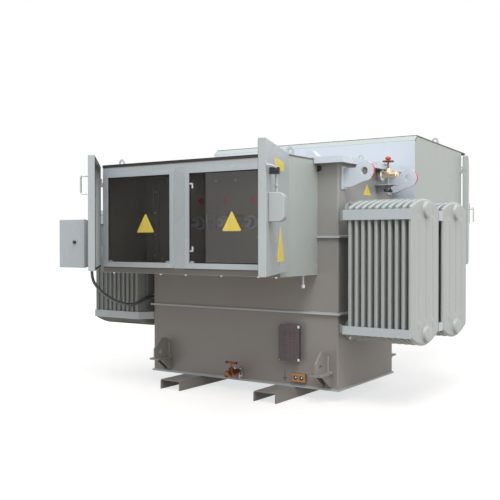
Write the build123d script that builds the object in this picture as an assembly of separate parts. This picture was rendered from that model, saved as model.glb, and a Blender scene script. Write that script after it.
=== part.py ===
"""Oil-filled power transformer on two skids, with a low-voltage cabinet in front,
a high-voltage cabinet behind and two banks of pressed radiators on each side.

Millimetres. X runs to the right along the front, Y to the back, Z up from the floor.
The pieces are drawn with X = 0 at the middle of the tank and Y = 0 on the tank's front wall,
and at the end all are moved together so that the origin is the bottom centre of the whole.
"""

import os
from math import asin, cos, pi, radians, sin

from build123d import *

# Tank
TANK_W = 1566.0
TANK_D = 872.0
TANK_TOP = 1555.0
TANK_WALL = 8.0
TANK_CORNER_R = 14.0
FLOOR_T = 12.0
FLOOR_LIP = 7.0
RIM_W = 54.0
RIM_T = 16.0
GASKET_T = 4.0
COVER_T = 22.0
STIFF_T = 12.0
STIFF_OUT = 16.0
STIFF_LOW_Z = 574.0
STIFF_HIGH_Z = 1078.0

# Skids, bent from plate as an inverted U
SKID_H = 71.0
SKID_W = 175.0
SKID_T = 8.0
SKID_BEND_R = 16.0
SKID_OVER = 261.0
SKID_LEFT_X = -410.0
SKID_RIGHT_X = 381.0

# Lifting lugs, plates that stand out of the side walls
LUG_T = 20.0
LUG_FRONT_Y = 70.0
LUG_REACH = 154.0
LUG_EYE_R = 66.0
LUG_HOLE_R = 25.0
LUG_EYE_Z = TANK_TOP - 52.0
LUG_ROOT_LOW_Z = TANK_TOP - 153.0
LUG_ROOT_HIGH_Z = TANK_TOP - 29.0
LUG_PAD_T = 8.0
LUG_PAD_W = 70.0
LUG_PAD_H = 150.0

# Jacking brackets
JACK_LEFT_X = -TANK_W / 2 + 143.0
JACK_RIGHT_X = TANK_W / 2 - 83.0
JACK_PLATE_Z = 180.0
JACK_PLATE_T = 12.0
JACK_PLATE_W = 84.0
JACK_REACH = 165.0
JACK_RIB_T = 14.0
JACK_TOP_Z = 333.0
JACK_SHOULDER_Z = 262.0
JACK_HOLE_R = 17.0
JACK_HOLE_Y = 104.0
JACK_HOLE_Z = 236.0
JACK_KNEE_H = 92.0
JACK_KNEE_SPREAD = 27.0

# Sheet-metal cabinets
SHEET = 3.0
LV_X0 = -TANK_W / 2 - 71.0
LV_X1 = TANK_W / 2 - 154.0
LV_DEPTH = 467.0
LV_H = 761.0
LV_Z1 = TANK_TOP + 35.0
LV_Z0 = LV_Z1 - LV_H
LV_ROOF_LIP = 20.0
LV_BACK_BORDER = 60.0
COVER_CLEAR = 4.0

# Low-voltage windows: a proud frame on the front plate, with the pane behind the plate
FRAME_T = 6.0
FRAME_INSET = 17.0
FRAME_LEFT_W = 634.0
FRAME_RIGHT_W = 721.0
FRAME_LEFT_X0 = LV_X0 + FRAME_INSET
FRAME_LEFT_X1 = FRAME_LEFT_X0 + FRAME_LEFT_W
FRAME_RIGHT_X1 = LV_X1 - FRAME_INSET
FRAME_RIGHT_X0 = FRAME_RIGHT_X1 - FRAME_RIGHT_W
FRAME_Z0 = LV_Z0 + 41.0
FRAME_Z1 = LV_Z1 - 57.0
FRAME_BAR = 35.0
FRAME_CORNER_R = 14.0
PANE_T = 6.0
PANE_LAP = 14.0

# Doors
DOOR_T = 42.0
DOOR_LIP = 20.0
DOOR_GAP = 12.0
DOOR_MEET = 6.0
LV_DOOR_Z0 = LV_Z0 + 37.0
LV_DOOR_Z1 = LV_Z1 - 6.0
LV_DOOR_LEFT_OPEN = 48.4
LV_DOOR_RIGHT_OPEN = 111.7
HV_DOOR_OPEN = 72.5
HINGE_R = 6.0
HINGE_OUT = 8.0
HINGE_H = 60.0
HINGE_PLAY = 0.3
HINGE_LEAF_T = 3.0
HINGE_LEAF_W = 40.0
HINGE_INSET = 120.0

# Door furniture
PULL_AT = 620.0
PULL_H = 112.0
PULL_OUT = 58.0
PULL_ROD_R = 6.0
ROD_SIDES = 8
PULL_Z = LV_DOOR_Z1 - 176.0
LOCK_AT = 640.0
LOCK_Z0 = LV_DOOR_Z1 - 431.0
LOCK_Z1 = LOCK_Z0 + 154.0
LOCK_W = 96.0
LOCK_OUT = 84.0
LOCK_ROD_R = 7.0
LOCK_ROD_TOP = LOCK_Z1 + 97.0
LOCK_CLAMP_H = 36.0

# Lever handles of the rear doors
LEVER_IN = 90.0
LEVER_PLATE_W = 44.0
LEVER_PLATE_H = 180.0
LEVER_PLATE_T = 8.0
LEVER_POST_R = 11.0
LEVER_OUT = 40.0
LEVER_W = 18.0
LEVER_T = 12.0
LEVER_L = 128.0

# Low-voltage bushings and their spade terminals, on the tank wall in the cabinet
LV_BUSH_X = (-327.0, -107.0, 120.0)
LV_BUSH_Z = LV_Z0 + 352.0
LV_BUSH_FLANGE_R = 50.0
LV_BUSH_R = 36.0
LV_BUSH_LEN = 78.0
LV_STUD_R = 12.0
LV_STUD_LEN = 52.0
SPADE_L = 100.0
SPADE_H = 105.0
SPADE_T = 12.0
SPADE_HOLE_R = 7.0
SPADE_PITCH = 44.5

# Inner cover plate on the tank wall, seen through the left window
HATCH_X0 = -TANK_W / 2 + 11.0
HATCH_X1 = HATCH_X0 + 342.0
HATCH_Z0 = LV_Z0 + LV_BACK_BORDER + 16.0
HATCH_Z1 = TANK_TOP - LV_BACK_BORDER - 10.0
HATCH_T = 8.0
HATCH_BORDER = 55.0
HATCH_STEP = 5.0

# High-voltage cabinet, bolted to the tank through a throat
THROAT_L = 95.0
THROAT_IN = 163.0
THROAT_W = TANK_W - 2 * THROAT_IN
THROAT_T = 6.0
HV_W = 1836.0
HV_D = 1038.0
HV_Y0 = TANK_D + THROAT_L
HV_Y1 = HV_Y0 + HV_D
HV_Z0 = 829.0
HV_H = 968.0
HV_FRONT_Z = HV_Z0 + HV_H
HV_PEAK_RISE = 39.0
HV_PEAK_Z = HV_FRONT_Z + HV_PEAK_RISE
HV_ROOF_FALL = 32.0
HV_REAR_Z = HV_PEAK_Z - HV_ROOF_FALL
THROAT_Z0 = HV_Z0 + 51.0
THROAT_Z1 = TANK_TOP - 55.0
HV_PEAK_IN = 46.0
HV_ROOF_OVER = 92.0
HV_ROOF_LIP = 18.0
HV_DOOR_Z0 = HV_Z0 + 21.0
HV_DOOR_Z1 = HV_REAR_Z - 32.0
HV_MOUTH_BORDER = 45.0
HV_BUSH_PITCH = 360.0
HV_BUSH_X = (-HV_BUSH_PITCH, 0.0, HV_BUSH_PITCH)
HV_BUSH_Z = (THROAT_Z0 + THROAT_Z1) / 2 + 40.0
HV_BUSH_FLANGE_R = 80.0
HV_BUSH_R = 40.0
HV_SHED_R = 66.0
HV_SHED_T = 18.0
HV_BUSH_FLANGE_T = 22.0
HV_SHED_PITCH = 46.0
HV_SHEDS = 6
SHED_SIDES = 16
HV_STUD_R = 12.0
HV_STUD_LEN = 70.0

# Radiators: pressed panels on two header pipes, two banks a side
PANELS = 10
PANEL_W = 480.0
PANEL_PITCH = 45.0
PANEL_T = 20.0
SEAM_W = 7.0
PANEL_BEVEL = 6.0
ARCH_STEPS = 8
SEAM_T = 3.0


RAD_OUT = 519.0

RAD_GAP = 73.0
RAD_Y0 = (TANK_D - 2 * PANEL_W - RAD_GAP) / 2
FLUTES = 4
GROOVE_W = 9.0
GROOVE_D = 3.0
HEADER_R = 42.0
HEADER_SIDES = 10
HEADER_TOP_Z = TANK_TOP - 309.0
HEADER_LOW_Z = 464.0
PANEL_SHOULDER_TOP = HEADER_TOP_Z + 18.0
PANEL_PEAK_TOP = HEADER_TOP_Z + 76.0
PANEL_SHOULDER_LOW = HEADER_LOW_Z - 4.0
PANEL_PEAK_LOW = HEADER_LOW_Z - 70.0
GROOVE_Z0 = HEADER_LOW_Z + 98.0
GROOVE_Z1 = HEADER_TOP_Z - 93.0
HEADER_FLANGE_R = 72.0
HEADER_FLANGE_T = 14.0
CAP_R = 52.0
CAP_OUT = 26.0
STRAP_T = 5.0
STRAP_TOP_Z0 = HEADER_TOP_Z - 63.0
STRAP_TOP_H = 65.0
STRAP_LOW_Z0 = HEADER_LOW_Z - 5.0
STRAP_LOW_H = 54.0
STRAP_PAST = 40.0
STRAP_FOOT = 45.0

# Valves
DRAIN_X = 0.0
DRAIN_Z = 131.0
DRAIN_FLANGE_R = 42.0
DRAIN_FLANGE_T = 14.0
DRAIN_BODY_R = 24.0
DRAIN_BODY_L = 108.0
DRAIN_NOSE_R = 16.0
DRAIN_NOSE_L = 46.0
DRAIN_STEM_Y = -92.0
DRAIN_NECK_R = 15.0
DRAIN_NECK_TOP = DRAIN_Z + 40.0
DRAIN_BAR_Z = DRAIN_NECK_TOP + 35.0
DRAIN_BAR_L = 90.0
DRAIN_BAR_R = 7.0
VALVE_STEM_R = 6.0
FILL_Y = TANK_D - 265.0
FILL_Z = TANK_TOP - 38.0
FILL_FLANGE_R = 36.0
FILL_FLANGE_T = 12.0
FILL_BODY_R = 22.0
FILL_REACH = 148.0
FILL_STEM_OUT = 80.0
FILL_NECK_R = 16.0
FILL_NECK_TOP = FILL_Z + 44.0
WHEEL_R = 42.0
WHEEL_Z = FILL_NECK_TOP + 51.0
WHEEL_RIM_W = 9.0
WHEEL_HUB_R = 12.0
WHEEL_HUB_H = 40.0
WHEEL_SPOKES = 3
SPOKE_W = 8.0
SPOKE_T = 6.0
SHELF_Z = FILL_Z - 75.0
SHELF_T = 6.0
SHELF_W = 90.0
SHELF_RIB_H = 60.0

# Small pieces on the tank
PAD_X = TANK_W / 2 - 288.0
PAD_Z = 136.0
PAD_W = 105.0
PAD_H = 56.0
PAD_T = 20.0
PAD_HOLE_R = 6.6
PAD_HOLE_PITCH = 44.5
PLATE_W = 163.0
PLATE_H = 250.0
PLATE_X1 = TANK_W / 2 - 263.0
PLATE_X0 = PLATE_X1 - PLATE_W
PLATE_Z0 = 245.0
PLATE_Z1 = PLATE_Z0 + PLATE_H
PLATE_T = 3.0
PLATE_OUT = 50.0
PLATE_STAND_W = 16.0
PLATE_STAND_IN = 18.0
RELIEF_X = TANK_W / 2 - 238.0
RELIEF_Y = 95.0
RELIEF_W = 96.0
RELIEF_D = 70.0
RELIEF_H = 58.0
RELIEF_FOOT_H = 12.0

# Roof eyes
EYE_W = 55.0
EYE_H = 56.0
EYE_T = 8.0
EYE_HOLE_R = 12.0
LV_EYE_Y = -300.0
LV_EYE_IN = 30.0
HV_EYE_IN = 20.0
HV_EYE_Y = HV_Y0 + 548.0
COVER_EYE_IN = 40.0
COVER_EYE_Y = TANK_D / 2 - 91.0
COVER_EYE_W = 38.0
COVER_EYE_H = 42.0

# Drain pipe of the low-voltage cabinet
DRIP_X = LV_X1 - 29.0
DRIP_Y = -140.0
DRIP_R = 7.0
DRIP_L = 62.0
DRIP_KNOB_R = 12.0
DRIP_KNOB_H = 22.0

# Control box and its flexible conduit
CBOX_W = 257.0
CBOX_ARM = 186.0
CBOX_X1 = LV_X0 - CBOX_ARM
CBOX_X0 = CBOX_X1 - CBOX_W
CBOX_Y0 = -470.0
CBOX_DEPTH = 180.0
CBOX_H = 345.0
CBOX_Z0 = LV_Z0 + 31.0
CBOX_Z1 = CBOX_Z0 + CBOX_H
CBOX_LID_T = 22.0
CBOX_LID_GAP = 6.0
CBOX_EDGE_R = 5.0
CBOX_BRACKET_T = 6.0
CBOX_BRACKET_H = 230.0
KNOB_R = 12.0
KNOB_OUT = 16.0
GLAND_R = 19.0
GLAND_L = 30.0
CONDUIT_D = 22.0
TANK_GLAND_X = -TANK_W / 2 - 58.0
TANK_GLAND_Y = 66.0
TANK_GLAND_Z = 627.0
TANK_GLAND_BLOCK = 46.0
CONDUIT_POINTS = (
    (-1080.0, -352.0, 830.0),
    (-1080.0, -352.0, 778.0),
    (-1050.0, -340.0, 716.0),
    (-1006.0, -298.0, 655.0),
    (-970.0, -250.0, 615.0),
    (-935.0, -202.0, 589.0),
    (-905.0, -153.0, 574.0),
    (-878.0, -104.0, 574.0),
    (-855.0, -51.0, 596.0),
    (TANK_GLAND_X, 8.0, TANK_GLAND_Z),
    (TANK_GLAND_X, TANK_GLAND_Y, TANK_GLAND_Z),
)


def block(x0, x1, y0, y1, z0, z1):
    """A block between two corners."""
    return Pos((x0 + x1) / 2, (y0 + y1) / 2, (z0 + z1) / 2) * Box(x1 - x0, y1 - y0, z1 - z0)


def rod(x, y, z0, z1, r):
    """An upright round bar."""
    return Pos(x, y, (z0 + z1) / 2) * Cylinder(r, z1 - z0)


def rod_y(x, z, y0, y1, r):
    """A round bar along Y."""
    return Pos(x, (y0 + y1) / 2, z) * Rot(90, 0, 0) * Cylinder(r, y1 - y0)


def rod_x(y, z, x0, x1, r):
    """A round bar along X."""
    return Pos((x0 + x1) / 2, y, z) * Rot(0, 90, 0) * Cylinder(r, x1 - x0)


def plate_yz(points, x0, x1):
    """A flat plate cut to an outline of (y, z) points, from x0 to x1."""
    face = make_face(Polyline(*[(x0, y, z) for y, z in points], close=True))
    return extrude(face, x1 - x0, dir=(1, 0, 0))


def plate_xz(points, y0, y1):
    """A flat plate cut to an outline of (x, z) points, from y0 to y1."""
    face = make_face(Polyline(*[(x, y0, z) for x, z in points], close=True))
    return extrude(face, y1 - y0, dir=(0, 1, 0))


def mirrored(shape):
    """The same piece on the other side of the tank's middle."""
    return mirror(shape, about=Plane.YZ)


def skid(x):
    """An inverted U bent from one plate, open at both ends."""
    length = TANK_D + 2 * SKID_OVER
    outer = Pos(x, TANK_D / 2, SKID_H / 2) * Box(SKID_W, length, SKID_H)
    inner = block(
        x - SKID_W / 2 + SKID_T, x + SKID_W / 2 - SKID_T,
        TANK_D / 2 - length, TANK_D / 2 + length, -SKID_T, SKID_H - SKID_T,
    )
    top_edges = outer.edges().filter_by(Axis.Y).group_by(Axis.Z)[-1]
    hollow_edges = inner.edges().filter_by(Axis.Y).group_by(Axis.Z)[-1]
    return fillet(top_edges, SKID_BEND_R) - fillet(hollow_edges, SKID_BEND_R - SKID_T)


def tank_floor():
    """The floor plate, a little larger than the walls that stand on it."""
    return block(
        -TANK_W / 2 - FLOOR_LIP, TANK_W / 2 + FLOOR_LIP, -FLOOR_LIP, TANK_D + FLOOR_LIP,
        SKID_H, SKID_H + FLOOR_T,
    )


def tank_body():
    """Four walls with rounded corners and a bolting rim, notched for the front cabinet."""
    z0 = SKID_H + FLOOR_T
    outer = block(-TANK_W / 2, TANK_W / 2, 0, TANK_D, z0, TANK_TOP)
    outer = fillet(outer.edges().filter_by(Axis.Z), TANK_CORNER_R)
    rim = block(
        -TANK_W / 2 - RIM_W, TANK_W / 2 + RIM_W, -RIM_W, TANK_D + RIM_W, TANK_TOP, TANK_TOP + RIM_T
    )
    rim -= cabinet_notch(TANK_TOP - 1, TANK_TOP + RIM_T + 1)
    hollow = block(
        -TANK_W / 2 + TANK_WALL, TANK_W / 2 - TANK_WALL, TANK_WALL, TANK_D - TANK_WALL,
        z0 - 1, TANK_TOP + RIM_T + 1,
    )
    return outer + rim - hollow


def cabinet_notch(z0, z1):
    """The space that the front cabinet takes out of the rim and the cover."""
    return block(
        -TANK_W / 2 - 2 * RIM_W, LV_X1 + COVER_CLEAR, -2 * RIM_W, 0, z0, z1
    )


def tank_cover():
    """The cover plate and, under it, its gasket, cut to the rim's outline."""
    z0 = TANK_TOP + RIM_T
    z1 = z0 + GASKET_T + COVER_T
    plate = block(
        -TANK_W / 2 - RIM_W, TANK_W / 2 + RIM_W, -RIM_W, TANK_D + RIM_W, z0 + GASKET_T, z1
    )
    gasket = block(
        -TANK_W / 2 - RIM_W * 0.7, TANK_W / 2 + RIM_W * 0.7, -RIM_W * 0.7, TANK_D + RIM_W * 0.7,
        z0, z0 + GASKET_T,
    )
    return plate + gasket - cabinet_notch(z0 - 1, z1 + 1)


def stiffener_low():
    """A flat bar round all four walls."""
    z0 = STIFF_LOW_Z - STIFF_T / 2
    ring = block(
        -TANK_W / 2 - STIFF_OUT, TANK_W / 2 + STIFF_OUT, -STIFF_OUT, TANK_D + STIFF_OUT,
        z0, z0 + STIFF_T,
    )
    hollow = block(-TANK_W / 2, TANK_W / 2, 0, TANK_D, z0 - 1, z0 + STIFF_T + 1)
    hollow = fillet(hollow.edges().filter_by(Axis.Z), TANK_CORNER_R)
    return ring - hollow


def stiffener_high(side):
    """A flat bar on one side wall, returned round its corners to the cabinets."""
    z0 = STIFF_HIGH_Z - STIFF_T / 2
    z1 = z0 + STIFF_T
    wall = TANK_W / 2
    back_x = THROAT_W / 2 + COVER_CLEAR
    if side > 0:
        bar = block(LV_X1 + COVER_CLEAR, wall + STIFF_OUT, -STIFF_OUT, TANK_D + STIFF_OUT, z0, z1)
        bar -= block(0, back_x, TANK_D, TANK_D + 2 * STIFF_OUT, z0 - 1, z1 + 1)
    else:
        bar = block(-wall - STIFF_OUT, -back_x, COVER_CLEAR, TANK_D + STIFF_OUT, z0, z1)
    hollow = block(-wall, wall, 0, TANK_D, z0 - 1, z1 + 1)
    hollow = fillet(hollow.edges().filter_by(Axis.Z), TANK_CORNER_R)
    return bar - hollow


def lifting_lug(y):
    """An eye plate on a pad on the right wall; the eye rises above its arm."""
    wall = TANK_W / 2
    eye_x = wall + LUG_REACH
    root = wall + LUG_PAD_T
    arm = plate_xz(
        [
            (root, LUG_ROOT_LOW_Z),
            (root + 0.35 * LUG_REACH, LUG_ROOT_LOW_Z),
            (eye_x + LUG_EYE_R * cos(pi / 4), LUG_EYE_Z - LUG_EYE_R * sin(pi / 4)),
            (eye_x, LUG_EYE_Z),
            (eye_x - LUG_EYE_R * 0.9, LUG_ROOT_HIGH_Z),
            (root, LUG_ROOT_HIGH_Z),
        ],
        y - LUG_T / 2, y + LUG_T / 2,
    )
    eye = rod_y(eye_x, LUG_EYE_Z, y - LUG_T / 2, y + LUG_T / 2, LUG_EYE_R)
    hole = rod_y(eye_x, LUG_EYE_Z, y - LUG_T, y + LUG_T, LUG_HOLE_R)
    mid = (LUG_ROOT_LOW_Z + LUG_ROOT_HIGH_Z) / 2
    pad = block(
        wall, root, y - LUG_PAD_W / 2, y + LUG_PAD_W / 2, mid - LUG_PAD_H / 2, mid + LUG_PAD_H / 2
    )
    return arm + eye - hole + pad


def jacking_bracket(x, back):
    """A jacking plate on two knees, under an upright rib with a pulling hole.

    It is drawn on the front wall, and mirrored to the back wall where back is set.
    """
    z0 = JACK_PLATE_Z
    z1 = z0 + JACK_PLATE_T
    plate = block(x - JACK_PLATE_W / 2, x + JACK_PLATE_W / 2, -JACK_REACH, 0, z0, z1)
    rib = plate_yz(
        [
            (0, z1), (-JACK_REACH + 4, z1), (-JACK_REACH + 4, JACK_SHOULDER_Z),
            (-0.53 * JACK_REACH, JACK_TOP_Z), (-0.2 * JACK_REACH, JACK_TOP_Z), (0, JACK_TOP_Z - 30),
        ],
        x - JACK_RIB_T / 2, x + JACK_RIB_T / 2,
    )
    rib -= rod_x(-JACK_HOLE_Y, JACK_HOLE_Z, x - JACK_RIB_T, x + JACK_RIB_T, JACK_HOLE_R)
    bracket = plate + rib
    for side in (-1, 1):
        knee_x = x + side * JACK_KNEE_SPREAD
        bracket += plate_yz(
            [(0, z0), (-0.75 * JACK_REACH, z0), (0, z0 - JACK_KNEE_H)],
            knee_x - JACK_RIB_T / 2, knee_x + JACK_RIB_T / 2,
        )
    if back:
        bracket = mirror(bracket, about=Plane.XZ.offset(-TANK_D / 2))
    return bracket


def front_plane():
    """Y of the low-voltage cabinet's front face."""
    return -LV_DEPTH


def lv_housing():
    """Side walls, floor, top and back border of the low-voltage cabinet, open in front."""
    y0 = front_plane() + SHEET
    shell = block(LV_X0, LV_X1, y0, 0, LV_Z0, LV_Z1 - SHEET)
    cavity = block(
        LV_X0 + SHEET, LV_X1 - SHEET, y0 - 1, -SHEET, LV_Z0 + SHEET, LV_Z1 + 1
    )
    back = block(
        -TANK_W / 2 + 2, LV_X1 - LV_BACK_BORDER, -2 * SHEET, 1,
        LV_Z0 + LV_BACK_BORDER, TANK_TOP - LV_BACK_BORDER,
    )
    return shell - cavity - back


def lv_roof():
    """A roof sheet with a turned-down front lip."""
    top = block(LV_X0, LV_X1, front_plane() - SHEET, 0, LV_Z1 - SHEET, LV_Z1)
    lip = block(
        LV_X0, LV_X1, front_plane() - SHEET, front_plane(), LV_Z1 - LV_ROOF_LIP, LV_Z1 - SHEET
    )
    return top + lip


def window_hole(x0, x1, grow, y0, y1):
    """The hole of one window, larger than the clear opening by grow on each side."""
    return block(
        x0 + FRAME_BAR - grow, x1 - FRAME_BAR + grow, y0, y1,
        FRAME_Z0 + FRAME_BAR - grow, FRAME_Z1 - FRAME_BAR + grow,
    )


def lv_front():
    """The front plate with its two window openings."""
    y0 = front_plane()
    plate = block(LV_X0, LV_X1, y0, y0 + SHEET, LV_Z0, LV_Z1 - SHEET)
    plate -= window_hole(FRAME_LEFT_X0, FRAME_LEFT_X1, 1, y0 - 1, y0 + SHEET + 1)
    plate -= window_hole(FRAME_RIGHT_X0, FRAME_RIGHT_X1, 1, y0 - 1, y0 + SHEET + 1)
    return plate


def window_frame(x0, x1):
    """A flat frame on the front plate, with rounded outer corners."""
    y1 = front_plane()
    outer = block(x0, x1, y1 - FRAME_T, y1, FRAME_Z0, FRAME_Z1)
    outer = fillet(outer.edges().filter_by(Axis.Y), FRAME_CORNER_R)
    return outer - window_hole(x0, x1, 0, y1 - FRAME_T - 1, y1 + 1)


def window_pane(x0, x1):
    """The pane, held behind the front plate."""
    y0 = front_plane() + SHEET
    return window_hole(x0, x1, PANE_LAP, y0, y0 + PANE_T)


def door_pan(length, z0, z1):
    """A folded door, hinge line at the origin: it runs to +X and faces -Y when shut."""
    x0 = HINGE_OUT / 2
    x1 = x0 + length
    back = -DOOR_GAP / 2
    face = back - DOOR_T
    pan = block(x0, x1, face, back, z0, z1)
    pan = fillet(pan.faces().sort_by(Axis.Y)[0].edges(), SHEET)
    pan -= block(x0 + SHEET, x1 - SHEET, face + SHEET, back - SHEET, z0 + SHEET, z1 - SHEET)
    rim = SHEET + DOOR_LIP
    pan -= block(x0 + rim, x1 - rim, back - 2 * SHEET, back + 1, z0 + rim, z1 - rim)
    for z in hinge_heights(z0, z1):
        pan += rod(0, 0, z + HINGE_PLAY, z + HINGE_H / 2, HINGE_R)
        pan += block(x0 - HINGE_LEAF_T, x0, face + HINGE_R, 0, z + HINGE_PLAY, z + HINGE_H / 2)
    return pan


def hinge_heights(z0, z1):
    """Heights of a door's two hinges."""
    return (z0 + HINGE_INSET, z1 - HINGE_INSET)


def hinge_knuckles(z0, z1):
    """The cabinet's halves of a door's hinges, hinge line at the origin."""
    knuckles = None
    for z in hinge_heights(z0, z1):
        half = rod(0, 0, z - HINGE_H / 2, z, HINGE_R)
        half += block(
            HINGE_OUT - HINGE_LEAF_T, HINGE_OUT, 0, HINGE_LEAF_W, z - HINGE_H / 2, z
        )
        knuckles = half if knuckles is None else knuckles + half
    return knuckles


def left_hand(shape, hinge, turned, swing):
    """Hang a piece drawn at the hinge line: turned to its cabinet, then swung open."""
    return Pos(hinge[0], hinge[1], 0) * Rot(0, 0, turned - swing) * shape


def right_hand(shape, hinge, turned, swing):
    """As left_hand, for a piece that is hinged on its right."""
    return Pos(hinge[0], hinge[1], 0) * Rot(0, 0, turned + swing) * mirrored(shape)


def lv_hinge(side):
    """Hinge line of a low-voltage door, side -1 or 1."""
    x = LV_X0 - HINGE_OUT if side < 0 else LV_X1 + HINGE_OUT
    return (x, front_plane() - DOOR_GAP / 2)


def lv_door_length():
    """Both doors share the cabinet's width, with a gap where they meet."""
    return (LV_X1 - LV_X0 + 2 * HINGE_OUT - DOOR_MEET) / 2 - HINGE_OUT / 2


def hv_hinge(side):
    """Hinge line of a high-voltage door, side -1 or 1."""
    return (side * (HV_W / 2 + HINGE_OUT), HV_Y1 + DOOR_GAP / 2)


def hv_door_length():
    """Both doors share the cabinet's width, with a gap where they meet."""
    return (HV_W + 2 * HINGE_OUT - DOOR_MEET) / 2 - HINGE_OUT / 2


def door_face():
    """Y of a shut door's outer face, from its hinge line."""
    return -DOOR_GAP / 2 - DOOR_T


def pull_handle():
    """A bent-rod pull on a shut left-hand door, from its hinge line."""
    y = door_face()
    reach = PULL_OUT - PULL_ROD_R
    z0 = PULL_Z - PULL_H / 2
    z1 = PULL_Z + PULL_H / 2
    path = FilletPolyline(
        (PULL_AT, y, z0), (PULL_AT, y - reach, z0), (PULL_AT, y - reach, z1), (PULL_AT, y, z1),
        radius=2 * PULL_ROD_R,
    )
    section = Plane((PULL_AT, y, z0), z_dir=(0, -1, 0)) * RegularPolygon(PULL_ROD_R, ROD_SIDES)
    return sweep(section, path=path)


def lock_box():
    """The padlock box of a shut left-hand door, with the bolt that drops into it."""
    y = door_face()
    body = block(LOCK_AT - LOCK_W / 2, LOCK_AT + LOCK_W / 2, y - LOCK_OUT, y, LOCK_Z0, LOCK_Z1)
    body = fillet(body.edges().filter_by(Axis.X).group_by(Axis.Y)[0], 0.36 * LOCK_OUT)
    body = fillet(body.edges().filter_by(Axis.Z), 5)
    bolt_y = y - 0.42 * LOCK_OUT
    bolt = rod(LOCK_AT, bolt_y, LOCK_Z1 - 4, LOCK_ROD_TOP, LOCK_ROD_R)
    bolt += rod(LOCK_AT, bolt_y, LOCK_Z1 + 34, LOCK_Z1 + 42, 2 * LOCK_ROD_R)
    clamp = block(
        LOCK_AT - 16, LOCK_AT + 16, bolt_y - 16, y, LOCK_ROD_TOP, LOCK_ROD_TOP + LOCK_CLAMP_H
    )
    lever = block(
        LOCK_AT + 16, LOCK_AT + 46, bolt_y - 5, bolt_y + 5, LOCK_ROD_TOP + 12, LOCK_ROD_TOP + 22
    )
    return body + bolt + clamp + lever


def hv_pull():
    """A lever handle on a shut left-hand door of the high-voltage cabinet."""
    y = door_face()
    at = hv_door_length() - LEVER_IN
    z = (HV_DOOR_Z0 + HV_DOOR_Z1) / 2
    plate = block(
        at - LEVER_PLATE_W / 2, at + LEVER_PLATE_W / 2, y - LEVER_PLATE_T, y,
        z - LEVER_PLATE_H / 2, z + LEVER_PLATE_H / 2,
    )
    plate = chamfer(plate.edges().filter_by(Axis.Y), 0.2 * LEVER_PLATE_W)
    pivot_z = z + LEVER_PLATE_H / 4
    post = rod_y(at, pivot_z, y - LEVER_OUT, y - LEVER_PLATE_T, LEVER_POST_R)
    lever = block(
        at - LEVER_W / 2, at + LEVER_W / 2, y - LEVER_OUT - LEVER_T / 2, y - LEVER_OUT + LEVER_T / 2,
        pivot_z - LEVER_L, pivot_z + LEVER_W / 2,
    )
    return plate + post + chamfer(lever.edges().filter_by(Axis.Y), 0.3 * LEVER_W)


def lv_bushings():
    """Three ceramic bushings with studs and drilled spade terminals."""
    group = []
    for x in LV_BUSH_X:
        flange = rod_y(x, LV_BUSH_Z, -16, 0, LV_BUSH_FLANGE_R)
        body = rod_y(x, LV_BUSH_Z, -LV_BUSH_LEN, -16, LV_BUSH_R)
        body = chamfer(body.edges().group_by(Axis.Y)[0], 8)
        end = -LV_BUSH_LEN - LV_STUD_LEN
        stud = rod_y(x, LV_BUSH_Z, end - 20, -LV_BUSH_LEN, LV_STUD_R)
        spade = block(
            x - SPADE_T / 2, x + SPADE_T / 2, end - SPADE_L, end,
            LV_BUSH_Z - SPADE_H / 2, LV_BUSH_Z + SPADE_H / 2,
        )
        for dy in (-0.5, 0.5):
            for dz in (-0.5, 0.5):
                spade -= rod_x(
                    end - SPADE_L * 0.56 + dy * SPADE_PITCH, LV_BUSH_Z + dz * SPADE_PITCH,
                    x - SPADE_T, x + SPADE_T, SPADE_HOLE_R,
                )
        group.append(flange + body + stud + spade)
    return Compound(group)


def lv_hatch():
    """A cover plate on the tank wall, pressed back inside its bolted border."""
    plate = block(HATCH_X0, HATCH_X1, -HATCH_T, 0, HATCH_Z0, HATCH_Z1)
    inside = block(
        HATCH_X0 + HATCH_BORDER, HATCH_X1 - HATCH_BORDER, -HATCH_T - 1, -HATCH_T + HATCH_STEP,
        HATCH_Z0 + HATCH_BORDER, HATCH_Z1 - HATCH_BORDER,
    )
    return plate - inside


def hv_throat():
    """The welded frame between the tank's back wall and the high-voltage cabinet."""
    half = THROAT_W / 2
    outer = block(-half, half, TANK_D, HV_Y0, THROAT_Z0, THROAT_Z1)
    inner = block(
        -half + THROAT_T, half - THROAT_T, TANK_D - 1, HV_Y0 + 1,
        THROAT_Z0 + THROAT_T, THROAT_Z1 - THROAT_T,
    )
    return outer - inner


def hv_profile(drop, y0, y1):
    """Side outline of the high-voltage cabinet, its top lowered by drop."""
    return [
        (y0, HV_Z0), (y1, HV_Z0), (y1, HV_REAR_Z - drop),
        (HV_Y0 + HV_PEAK_IN, HV_PEAK_Z - drop), (y0, HV_FRONT_Z - drop),
    ]


def hv_housing():
    """Side walls, front wall, floor and back border, open at the doors and under the roof."""
    half = HV_W / 2
    shell = plate_yz(hv_profile(SHEET, HV_Y0, HV_Y1), -half, half)
    shell -= block(
        -half + SHEET, half - SHEET, HV_Y0 + SHEET, HV_Y1 - SHEET, HV_Z0 + SHEET, HV_PEAK_Z + 1
    )
    shell -= block(
        -half + HV_MOUTH_BORDER, half - HV_MOUTH_BORDER, HV_Y1 - 2 * SHEET, HV_Y1 + 1,
        HV_Z0 + HV_MOUTH_BORDER, HV_REAR_Z - HV_MOUTH_BORDER,
    )
    gap = THROAT_T
    shell -= block(
        -THROAT_W / 2 + gap, THROAT_W / 2 - gap, HV_Y0 - 1, HV_Y0 + 2 * SHEET,
        THROAT_Z0 + gap, THROAT_Z1 - gap,
    )
    return shell


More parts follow.
